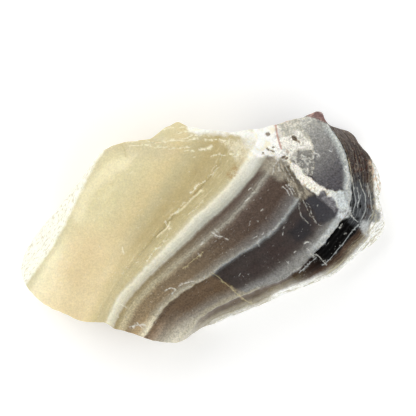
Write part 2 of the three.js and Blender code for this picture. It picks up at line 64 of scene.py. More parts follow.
# The lines that the growth bands draw across the front, each from below the outline to above it: its points,
# the front's height at five places along it, how far the front steps down past it there, how much the band
# past it swells, and in how many thin layers the slope past it is broken.
BAND_LINES = [
    dict(name="outside the left facet", height=(1, 1, 1, 1, 2),
        at=[(-37.1, -11.1), (-34.9, -7.3), (-33.1, -4.9), (-31.5, -2.7), (-30.3, -0.9), (-29.2, 1.2),
        (-28.1, 3.1), (-27.1, 5.1), (-26.1, 7.1), (-25.1, 9.4), (-23.7, 12.1), (-21.5, 15.5), (-19.5, 20.2)]),
    dict(name="edge of the left facet", height=(12.6, 13.2, 13.8, 14, 13.5),
        at=[(-32, -13.4), (-29.8, -9.5), (-28, -7), (-26.4, -4.8), (-25.2, -2.9), (-24.1, -0.9), (-23, 1),
        (-22, 3.1), (-21, 5.1), (-20, 7.3), (-18.6, 10), (-16.4, 13.4), (-14.4, 17.9)]),
    dict(name="clear honey", height=(14.6, 15.5, 16.2, 16.2, 15.5),
        at=[(-28.3, -18.4), (-25.6, -13.9), (-23.9, -9.9), (-22, -6), (-20.1, -2.4), (-18.3, 1), (-16.6, 3.9),
        (-14.9, 6.6), (-13.2, 9.2), (-11.6, 11.4), (-10.1, 13.4), (-8.6, 15.5), (-7.2, 19.9)]),
    dict(name="olive honey", height=(15.6, 16.6, 17.4, 17.7, 17),
        at=[(-23.2, -20.1), (-20.8, -16), (-19.1, -12.1), (-17.3, -8.2), (-15.2, -4.6), (-12.8, -1.2),
        (-10.5, 2), (-8.2, 5.3), (-6, 8.5), (-4.2, 11.4), (-2.5, 14.3), (-0.9, 16.8), (0.3, 20.7)]),
    dict(name="honey ledge", height=(16.3, 17.7, 18.9, 19.3, 18.5), drop=(0, 0.2, 0.5, 0.3, 0),
        at=[(-20.1, -20.6), (-17.9, -16.2), (-16.1, -12.4), (-13.9, -9), (-11.1, -5.3), (-8.2, -2), (-5.7, 1),
        (-2.6, 4.1), (0.1, 7), (2.3, 9.7), (4, 12.8), (5.4, 16.3), (6, 20.7)]),
    dict(name="white band, near side", height=(16, 17.6, 18.7, 19.6, 19.5), bulge=0.3,
        at=[(-19.1, -20.9), (-16.7, -16), (-14.9, -12.2), (-12.2, -9), (-9.4, -6.1), (-6, -2.6), (-2.6, 1),
        (1.1, 4.4), (4.5, 8), (6.5, 10.9), (8.1, 13.4), (9.1, 16.7), (9.4, 20.7)]),
    dict(name="white band, far side", height=(15.8, 17.3, 18.5, 19.8, 19.8),
        at=[(-17.4, -20.9), (-14.9, -16.2), (-13, -12.4), (-10.1, -9.2), (-7.1, -6.3), (-3.3, -2.9),
        (0.1, 0.5), (3.8, 3.7), (7.2, 7.3), (9.4, 10), (11.1, 13.1), (11.8, 16.8), (11.8, 20.7)]),
    dict(name="thin pale band", height=(15.4, 17, 18.3, 19.7, 19.8), bulge=0.3,
        at=[(-15.4, -21.2), (-13.5, -16.8), (-11.3, -12.8), (-8.6, -10), (-5.2, -7), (-1.3, -3.6),
        (2.3, -0.7), (5.9, 2.6), (9.1, 6.5), (11.1, 9.4), (12.5, 12.2), (13.2, 16.5), (12.8, 20.7)]),
    dict(name="first ledge", height=(13.9, 15.9, 17.5, 19, 19), drop=(0.9, 1.2, 1.6, 0.3, 0),
        at=[(-12.3, -22.3), (-9.9, -18.9), (-7.2, -14.6), (-3.5, -11.2), (0.8, -8.7), (5, -5.6), (8.9, -3.2),
        (12.7, -0.3), (16.1, 4.1), (17.6, 8), (17.6, 12.2), (16.2, 16.5), (14, 20.7)]),
    dict(name="second ledge", height=(11.2, 13.4, 15.6, 16.8, 16), drop=(0.8, 1.1, 2.4, 1.2, 0.8), treads=3,
        at=[(-5.9, -22.3), (-3.1, -19), (0.4, -15.1), (5, -12.6), (10.1, -10.5), (15.2, -8.2), (19.1, -4.6),
        (22.7, -0.3), (25.1, 3.7), (25.1, 8.3), (24.1, 13.1), (21.7, 17), (17.4, 20.9)]),
    dict(name="last dark layer", height=(8.5, 10, 10.8, 12, 11.5), treads=3,
        at=[(-5.2, -23), (-2.5, -19.4), (1.1, -15.8), (5.9, -13.4), (11, -11.4), (16.2, -9.2), (20.7, -6),
        (24.6, -1.9), (27.1, 1.5), (27.1, 7.7), (26.1, 13.1), (23.4, 17), (19.1, 21.6)]),
    dict(name="rind", height=(6.5, 7.6, 8, 8.6, 8.6),
        at=[(-4.5, -23.6), (-2, -19.7), (1.4, -16.3), (6.4, -14.1), (11.5, -12.1), (16.9, -9.9), (22.4, -7),
        (26.8, -2.7), (29.5, 1.2), (29.5, 7.7), (28.8, 12), (26.2, 16.4), (21.6, 22.4)]),
    dict(name="outside the rind", height=(1, 1, 1, 1.5, 2),
        at=[(-2.1, -26), (0.3, -21.8), (3.8, -18.9), (8.4, -16.7), (13.5, -14.5), (19.3, -12.4), (25.1, -9.7),
        (29.8, -5.6), (33.9, 0.2), (33.2, 8.3), (31.2, 13.8), (27.5, 18.5), (23, 24.1)]),
]  # fmt: skip

# The larger breaks. Each takes away what lies beyond a face through a point, facing out of the stone. dish is
# how deep the face is hollowed 10 mm from that point, and is negative where it swells outwards.
FRONT_BREAKS = [
    dict(name="top edge", at=(-3, 15.2, 16.6), facing=(-0.1, 0.9, 0.62), dish=0.2, lumps=0.3),
    dict(name="disc scar", at=(19.6, 11.6, 17.0), facing=(0.12, 0.34, 1), dish=0.9, lumps=0.12),
]
BACK_BREAKS = [
    dict(name="back of the rind", at=(15.5, -11.2, 2.2), facing=(0.42, -0.68, -0.6), dish=-1.0, lumps=0.5),
    dict(name="back of the right end", at=(30.2, 5, 2.4), facing=(0.8, 0.1, -0.6), dish=-0.7, lumps=0.5),
    dict(name="back of the top", at=(6, 16.2, 5.5), facing=(0, 0.78, -0.62), dish=0.3, lumps=0.4),
    dict(name="back of the left end", at=(-28, -2, 2.2), facing=(-0.72, 0.4, -0.57), dish=0.2, lumps=0.3),
    dict(name="back of the lower edge", at=(-18, -16.2, 6), facing=(-0.12, -0.82, -0.56), dish=0.35,
         lumps=0.35),
]
DISH_REACH = 10
DISH_LIMIT = 4  # past this many times the square of that reach, a face goes on flat

DISC_BLOW = (17.5, 14.5)  # where the blow fell that made the disc scar, and that its ripples run round
DISC_TOP = (16.2, 17.6)  # where the disc scar starts out from the surface above it
RIPPLE_HEIGHT, RIPPLE_LENGTH = 0.05, 1.15
THINNEST = 0.8  # how thick the stone is at its thinnest edge

RISER_WIDTH = 0.3  # how wide a ledge's wall is, seen from above
TREAD_SLOPE = 0.3  # how much of a layered slope's fall is on the treads, the rest being risers
BAND_DIP = 0.42  # how far the bands lean towards the rind for each millimetre of depth
BAND_DIP_WAY = (0.55, -0.83)  # which way that is, seen from above

# How fine the mesh is, in millimetres between points.
FRONT_GRAIN = 0.28
FINE_FROM = (8.2, -1.5)  # the front's fine part lies to the right of and above this
FINE_GRAIN = 0.17
LINE_GRAIN = 0.2
MARK_STEP = 0.13
RIM_STEP = 0.3
WALL_STEP = 0.42
BACK_GRAIN = 0.42
ROW_SHARE = 0.866  # rows of points lie this share of their grain apart, for even triangles
LEDGE_GAP, MARK_GAP, FINE_GAP, FRONT_GAP = 0.09, 0.05, 0.1, 0.14  # the least between the points kept
FRONT_MARGIN, BACK_MARGIN = 0.18, 0.25  # how far inside the outline those points start
RIM_INSET = 0.1  # how far inside its drawn course the outline lies, and how far it strays from there
OUTLINE_STEPS = 4000
GRID_SIZE = (193, 161)  # places across the bands and along them
SHARP_ANGLE = 48  # degrees
LAYERS_A_BAND = 4  # thin pale layers in each of the last dark bands


# ---------------------------------------------------------------- shapes of numbers


def smooth(low, high, value):
    """0 below low, 1 above high, and a smooth rise between."""
    share = np.clip((value - low) / (high - low), 0, 1)
    return share * share * (3 - 2 * share)


def hashed(ix, iy, iz, seed):
    """A number from 0 to 1 for each corner of a lattice, always the same, made by scrambling its bits."""
    mixed = (
        ix.astype(np.uint32) * np.uint32(73856093)
        ^ iy.astype(np.uint32) * np.uint32(19349663)
        ^ iz.astype(np.uint32) * np.uint32(83492791)
        ^ np.uint32((seed * 2654435761) % 2**32)
    )
    for shift, factor in ((13, 1540483477), (15, 668265263), (16, 374761393)):
        mixed ^= mixed >> np.uint32(shift)
        mixed *= np.uint32(factor)
    mixed ^= mixed >> np.uint32(15)
    return mixed.astype(np.float64) / 2**32


def lumps(spots, size, seed=0):
    """Smooth noise from about -1 to 1 at points (n, 2) or (n, 3), with lumps about size across."""
    spots = np.asarray(spots, float) / size
    if spots.shape[1] == 2:
        spots = np.column_stack([spots, np.full(len(spots), 0.37)])
    low = np.floor(spots).astype(np.int64)
    part = spots - low
    fade = part**3 * (part * (part * 6 - 15) + 10)
    total = np.zeros(len(spots))
    for dx in (0, 1):
        for dy in (0, 1):
            for dz in (0, 1):
                corner = low + (dx, dy, dz)
                turn = hashed(*corner.T, seed) * 2 * math.pi
                lift = hashed(*corner.T, seed + 101) * 2 - 1
                flat = np.sqrt(1 - lift * lift)
                away = part - (dx, dy, dz)
                slope = away[:, 0] * flat * np.cos(turn) + away[:, 1] * flat * np.sin(turn)
                slope += away[:, 2] * lift
                share = (
                    np.where(dx, fade[:, 0], 1 - fade[:, 0])
                    * np.where(dy, fade[:, 1], 1 - fade[:, 1])
                    * np.where(dz, fade[:, 2], 1 - fade[:, 2])
                )
                total += slope * share
    return total * 1.6


def rough(spots, size, seed=0, octaves=3):
    """Lumps with finer lumps on them."""
    total = np.zeros(len(spots))
    for octave in range(octaves):
        total += lumps(spots, size / 2**octave, seed + octave) / 2**octave
    return total


def spline(points, shares, closed=False):
    """A centripetal Catmull-Rom curve through points, at shares from 0 to 1 of the way along it."""
    points = np.asarray(points, float)
    count = len(points)
    spans = count if closed else count - 1
    place = np.asarray(shares, float) * spans
    first = np.minimum(np.floor(place).astype(int), spans - 1)
    part = (place - first)[:, None]
    if closed:
        before, start, end, after = (points[(first + k) % count] for k in (-1, 0, 1, 2))
    else:
        padded = np.vstack([2 * points[0] - points[1], points, 2 * points[-1] - points[-2]])
        before, start, end, after = (padded[first + k] for k in (0, 1, 2, 3))
    steps = [
        np.maximum(np.sqrt(np.linalg.norm(b - a, axis=1)), 1e-4)[:, None]
        for a, b in ((before, start), (start, end), (end, after))
    ]
    leave = ((start - before) / steps[0] - (end - before) / (steps[0] + steps[1]) + (end - start) / steps[1])
    reach = ((end - start) / steps[1] - (after - start) / (steps[1] + steps[2]) + (after - end) / steps[2])
    leave, reach = leave * steps[1], reach * steps[1]
    square = -3 * start + 3 * end - 2 * leave - reach
    cube = 2 * start - 2 * end + leave + reach
    return start + part * (leave + part * (square + part * cube))


def along_line(values, share):
    """The value between five that are given at equal steps along a band line."""
    return np.interp(share, np.linspace(0, 1, len(values)), values)


# ---------------------------------------------------------------- the growth bands

LINE_STEPS = 600
LINE_CURVES = np.array([spline(line["at"], np.linspace(0, 1, LINE_STEPS + 1)) for line in BAND_LINES])
LAST_BAND = len(BAND_LINES) - 2


def on_line(index, along):
    """Where the band lines of these indexes are, these shares of the way along them."""
    place = np.clip(along, 0, 1) * LINE_STEPS
    low = np.minimum(place.astype(int), LINE_STEPS - 1)
    part = (place - low)[:, None]
    return LINE_CURVES[index, low] * (1 - part) + LINE_CURVES[index, low + 1] * part


def band_spot(growth, along):
    """The place in plan of a growth coordinate, which counts band lines, and a share of the way along."""
    index = np.clip(np.floor(growth).astype(int), 0, LAST_BAND)
    part = (growth - index)[:, None]
    return on_line(index, along) * (1 - part) + on_line(index + 1, along) * part


def plan_tree(spots):
    """A tree of points in plan, to look up which one is nearest."""
    tree = kdtree.KDTree(len(spots))
    for number, (x, y) in enumerate(spots):
        tree.insert((x, y, 0), number)
    tree.balance()
    return tree


def nearest(tree, spots):
    """The number of the tree's point that is nearest to each of these."""
    return np.array([tree.find((x, y, 0))[1] for x, y in spots])


# Every place of a grid over the bands.
GRID_STEPS = [np.linspace(0, end, steps) for end, steps in zip((LAST_BAND + 1, 1), GRID_SIZE)]
GRID_GROWTH, GRID_ALONG = (values.ravel() for values in np.meshgrid(*GRID_STEPS, indexing="ij"))
BAND_TREE = plan_tree(band_spot(GRID_GROWTH, GRID_ALONG))


def band_place(spots):
    """The growth coordinate and the share of the way along, at points in plan."""
    start = nearest(BAND_TREE, spots)
    growth, along = GRID_GROWTH[start], GRID_ALONG[start]
    nudge = 0.002  # a short share of the way along, to see which way the band runs
    for _ in range(4):
        index = np.clip(np.floor(growth).astype(int), 0, LAST_BAND)
        here = band_spot(growth, along)
        across = on_line(index + 1, along) - on_line(index, along)
        low, high = np.clip(along - nudge, 0, 1), np.clip(along + nudge, 0, 1)
        onward = (band_spot(growth, high) - band_spot(growth, low)) / (high - low)[:, None]
        miss = spots - here
        area = across[:, 0] * onward[:, 1] - across[:, 1] * onward[:, 0]
        area = np.where(np.abs(area) < 1e-6, 1e-6, area)
        step_growth = (miss[:, 0] * onward[:, 1] - miss[:, 1] * onward[:, 0]) / area
        step_along = (across[:, 0] * miss[:, 1] - across[:, 1] * miss[:, 0]) / area
        growth = np.clip(growth + np.clip(step_growth, -0.5, 0.5), 0, LAST_BAND + 1)
        along = np.clip(along + np.clip(step_along, -0.05, 0.05), 0, 1)
    return growth, along


def wander(spots):
    """How far the band lines stray from their drawn course, so that none is a smooth curve."""
    east = 0.15 * lumps(spots, 2.3, 11) + 0.12 * lumps(spots, 0.7, 12)
    north = 0.15 * lumps(spots, 2.3, 13) + 0.12 * lumps(spots, 0.7, 14)
    return np.column_stack([east, north])


# ---------------------------------------------------------------- the heights of front and back


def band_height(growth, along):
    """The height of the broken front along the bands, with its ledges and treads."""
    index = np.clip(np.floor(growth).astype(int), 0, LAST_BAND)
    part = growth - index
    width = np.linalg.norm(on_line(index + 1, along) - on_line(index, along), axis=1)
    height = np.zeros(len(growth))
    for number in range(LAST_BAND + 1):
        line, after = BAND_LINES[number], BAND_LINES[number + 1]
        here = index == number
        share, way, wide = part[here], along[here], width[here]
        start = along_line(line["height"], way) - along_line(line.get("drop", NO_DROP), way)
        end = along_line(after["height"], way)
        fall = share
        if "treads" in line:
            treads = line["treads"]
            tread = np.minimum(np.floor(share * treads), treads - 1)
            within = share * treads - tread
            flat = np.clip(1 - treads * RISER_WIDTH / wide, 0.3, 0.95)
            fall = np.where(
                within < flat,
                tread / treads + TREAD_SLOPE / treads * within / flat,
                (tread + TREAD_SLOPE + (1 - TREAD_SLOPE) * (within - flat) / (1 - flat)) / treads,
            )
        crown = line.get("bulge", 0) * np.sin(math.pi * share)
        top = start + (end - start) * fall + crown
        if "drop" in after:
            rim = 1 - RISER_WIDTH / wide
            foot = end - along_line(after["drop"], way)
            down = np.clip((share - rim) / (1 - rim), 0, 1)
            at_rim = start + (end - start) * np.minimum(share / rim, 1)
            top = np.where(share < rim, at_rim, end + (foot - end) * down)
        height[here] = top
    return height


def break_height(spots, broken):
    """The height of a break's face over points in plan."""
    middle = np.array(broken["at"], float)
    out = np.array(broken["facing"], float)
    out /= np.linalg.norm(out)
    flat = middle[2] - ((spots - middle[:2]) @ out[:2]) / out[2]
    reach = (((spots - middle[:2]) ** 2).sum(1) + (flat - middle[2]) ** 2) / DISH_REACH**2
    face = np.column_stack([spots, flat])
    offset = broken["dish"] * (np.minimum(reach, DISH_LIMIT) - 1) + broken["lumps"] * rough(face, 6, 21)
    return flat + offset / out[2]


def back_height(spots):
    height = 0.25 * np.abs(rough(spots, 11, 31))
    for broken in BACK_BREAKS:
        height = np.maximum(height, break_height(spots, broken))
    return height


# ---------------------------------------------------------------- marks on the front

# Areas of the front that broke, grew or weathered in their own way, some carrying painted highlights, sheen
# and
# shade: each one's outline from above, how wide its edge is, how ragged, and how much the front rises there,
# or sinks.
AREAS = {
    "disc face": dict(edge=1.8, ragged=0.25, ring=[(4.5, 16), (7.5, 13.7), (9.8, 12.6), (13, 11.6),
        (14.8, 9.6), (17, 6.4), (21, 4.2), (26, 2), (34, 2), (34, 24), (4.5, 24)]),
    "druse": dict(edge=0.7, ragged=0.75, rise=0.12, ring=[(7.9, 13.1), (8.8, 15.1), (9.1, 16.5), (10.1, 17.2),
        (12, 17.9), (12.7, 16.8), (13, 15.1), (14.4, 15), (14.9, 15.8), (15.9, 16.3), (17.1, 15.8),
        (18.1, 14.8), (18.7, 13.6), (17.9, 13.2), (16.9, 13.1), (15.9, 12.8), (15, 12.1), (14.5, 11.4),
        (13.9, 10.9), (13.2, 11.4), (12.5, 11.7), (11.6, 12.1), (10.6, 12.2), (9.8, 12.2), (8.8, 11.9),
        (7.9, 11.7)]),
    "vein": dict(edge=0.2, ragged=0.22, rise=0.4, ring=[(13.9, 11.7), (14.3, 11.1), (15.5, 9.1), (16, 8.1),
        (16.9, 7.1), (18.1, 6.4), (18.9, 5.7), (19.6, 5.4), (19.9, 6.1), (20.7, 6.1), (21.1, 5.4), (22, 4.8),
        (22.8, 4.3), (22.6, 3.5), (23.3, 2.9), (23.7, 2.6), (24.3, 3), (24.6, 3.9), (24.3, 4.9), (23.9, 6.1),
        (23.4, 6.4), (22.4, 6.1), (21.3, 6.4), (20.2, 6.9), (19.2, 7.5), (18.5, 8.4), (17.6, 8.6), (17, 9.2),
        (16.5, 10.1), (15.2, 11.2)]),
    "disc scar": dict(edge=0.12, ragged=0.06, rise=-0.3, ring=[(15.9, 19), (17.2, 16.6), (18.1, 15.6),
        (18.7, 14.2), (19, 13.1), (19.1, 11.7), (19.1, 10.2), (18.6, 8.7), (19.2, 7.5), (20.2, 6.9),
        (21.3, 6.4), (22.4, 6.1), (23.4, 6.4), (25.2, 6.2), (25.6, 8), (24.6, 10.5), (24.1, 13.1),
        (23.4, 14.5), (22.5, 15.8), (21.3, 17.5), (19.6, 18.7)]),
    "small scar": dict(edge=0.14, ragged=0.1, rise=-0.22, ring=[(14.9, 12.2), (15.5, 12.4), (17.3, 13.1),
        (18.5, 13.1), (19.1, 11.8), (19.1, 10.3), (18.7, 8.8), (17.4, 8.8), (16.5, 9.1), (15.2, 10.9)]),
    "nub": dict(edge=0.15, ragged=0.1, ring=[(17.3, 18.9), (19.9, 20.6), (22, 19.9), (22, 17.5), (21.3, 17.6),
        (20.2, 18.1), (18.9, 18.6)]),
    "wedge": dict(edge=0.5, ragged=0.3, rise=-0.35, ring=[(13.3, 11.6), (14.3, 10.9), (15.5, 9), (16.2, 7.8),
        (18.9, 5.6), (18.1, 5.2), (16.8, 4.5), (16, 5.1), (14.7, 6.9), (13.4, 9.1), (13, 10.5)]),
    # A facet sloping away from the lamps; its dark tone is painted shade over the dark layers' own colour.
    "dark facet": dict(edge=0.9, ragged=0.3, rise=-0.3, ring=[(17.8, 5.4), (18.9, 5.2), (19.9, 4.5),
        (21.7, 3.9), (23.7, 2.6), (22.8, 1.4), (21.7, 1), (20.4, 0.6), (19.6, 0.9), (18.5, 3), (17.4, 4.5)]),
    "dark patch": dict(edge=1.4, ragged=0.6, ring=[(14.5, -0.9), (15.9, 0.9), (17.1, 1.9), (18.3, 0.9),
        (18.6, -0.9), (17.4, -2.2), (15.7, -2.6)]),
    "scuff": dict(edge=0.3, ragged=0.2, rise=0.1, ring=[(19.3, 5.5), (19.9, 6.2), (20.7, 6.2), (21.2, 5.5),
        (22.1, 4.9), (22.9, 4.4), (22.7, 3.6), (23.4, 3), (23.6, 2.4), (22.5, 2.6), (20.8, 4), (19.5, 4.8)]),
    "disc foot": dict(edge=0.3, ragged=0.1, rise=-0.1, ring=[(18.8, 8.8), (19.6, 8.4), (20.7, 7.6),
        (21.8, 6.8), (23, 6.4), (22.4, 6), (21.2, 6.2), (20, 6.9), (19.1, 7.7)]),
    "dull top": dict(edge=2.2, ragged=0.6, ring=[(-16.6, 14.5), (-11.5, 15.2), (-6.5, 14.8), (-4.5, 13),
        (-7, 11.5), (-12.5, 11.8), (-16, 13)]),
    # Patches of painted bluish sheen on the black layers past the second ledge.
    "grey sheen": dict(edge=1.5, ragged=0.8, ring=[(25.1, 6.9), (26.2, 8.2), (27.3, 6.8), (28.3, 7),
        (29.3, 5.4), (29.8, 0.8), (28.8, -0.8), (27.2, -0.2), (26.3, 0.3), (25.1, 1.8)]),
    "apricot": dict(edge=0.8, ragged=0.4, ring=[(28.6, 11.2), (29.6, 10.4), (30.7, 8.5), (30.5, 6.4),
        (29.5, 6.8), (29, 8.9)]),
    "pale root": dict(edge=1.5, ragged=0.6, ring=[(10.1, 11.7), (14.9, 11.4), (16.6, 9.4), (14.9, 8),
        (13.2, 7.7), (11.1, 8.8), (9.4, 9.7)]),
    "crushed corner": dict(edge=0.4, ragged=0.3, rise=0.05, ring=[(23, 3.6), (24.4, 3.9), (25.4, 3.4),
        (25.1, 2.2), (24.4, 1.7), (23.4, 0.8), (22.9, 1.7)]),
    "dark tooth": dict(edge=0.6, ragged=0.3, ring=[(29.5, 3.1), (30.2, 2.7), (30.5, 1.9), (30.3, 1),
        (29.7, 0.7), (29, 1), (29.2, 2)]),
    "chalk corner": dict(edge=0.8, ragged=0.5, ring=[(27.2, 0.4), (27.8, 0.9), (28.6, 0.9), (28.9, -0.3),
        (28.2, -1.3), (27.4, -1.3), (27.2, -0.4)]),
    "pale corner": dict(edge=1.2, ragged=0.8, ring=[(3.3, 14.5), (6, 15.1), (8.8, 14.6), (9.2, 13.1),
        (8.1, 11.8), (6.7, 10.8), (5.7, 11.4), (4.3, 12.8)]),
    "blush": dict(edge=4.5, ragged=0.8, ring=[(-24.2, -6), (-22.2, -2.2), (-19.1, -0.2), (-16.7, -1.5),
        (-17.1, -4.9), (-18.8, -8.3), (-21.8, -10), (-24.2, -9)]),
    # A raised fold on the honey face, painted pale as a highlight where it faces the key lamp.
    "highlit fold": dict(edge=1.6, ragged=0.5, rise=0.18, ring=[(-22, 3), (-20.1, 6), (-18.1, 8.7),
        (-15.4, 11.1), (-12.3, 12.8), (-10.6, 12.4), (-12, 10.7), (-14.7, 9), (-17.4, 7), (-19.1, 5.3),
        (-20, 1.2), (-21.9, 0.6)]),
    "amber": dict(edge=0.7, ragged=0.6, ring=[(4, 8.6), (4.8, 9.7), (6.3, 11.1), (7.1, 11.9), (6.9, 10.9),
        (5.8, 9.3), (4.7, 8)]),
    "grey shoulder": dict(edge=0.8, ragged=0.4, ring=[(12.7, 18.4), (16.6, 19.2), (17.6, 16.9), (18.7, 15.4),
        (19.3, 13.2), (19.2, 12), (18, 12.6), (14, 13.8), (13, 15.1), (12.7, 16.8)]),
    "white top": dict(edge=1.0, ragged=0.5, ring=[(-2.8, 17.2), (0.3, 17.9), (4.7, 17.2), (8.4, 16.5),
        (10.1, 17.9), (12.5, 18.2), (12.5, 16.5), (10.1, 15.8), (9.1, 14.5), (8.1, 13.1), (7.1, 13.8),
        (6.4, 15.5), (3.3, 15.8), (0.3, 16), (-2.1, 16.3)]),
}  # fmt: skip

# The areas that go on down the wall below the front's edge, and how much smaller they are drawn there.
OVER_THE_EDGE = ("druse", "nub", "white top", "grey shoulder")
BACK_SHARE = 0.985

# The disc scar's right edge, which stands up a little and carries a painted highlight.
DISC_EDGE = [(21.2, 17.5), (22.7, 15), (23.9, 12.6), (24.6, 10.5), (24.8, 8.8), (24.6, 6.5)]

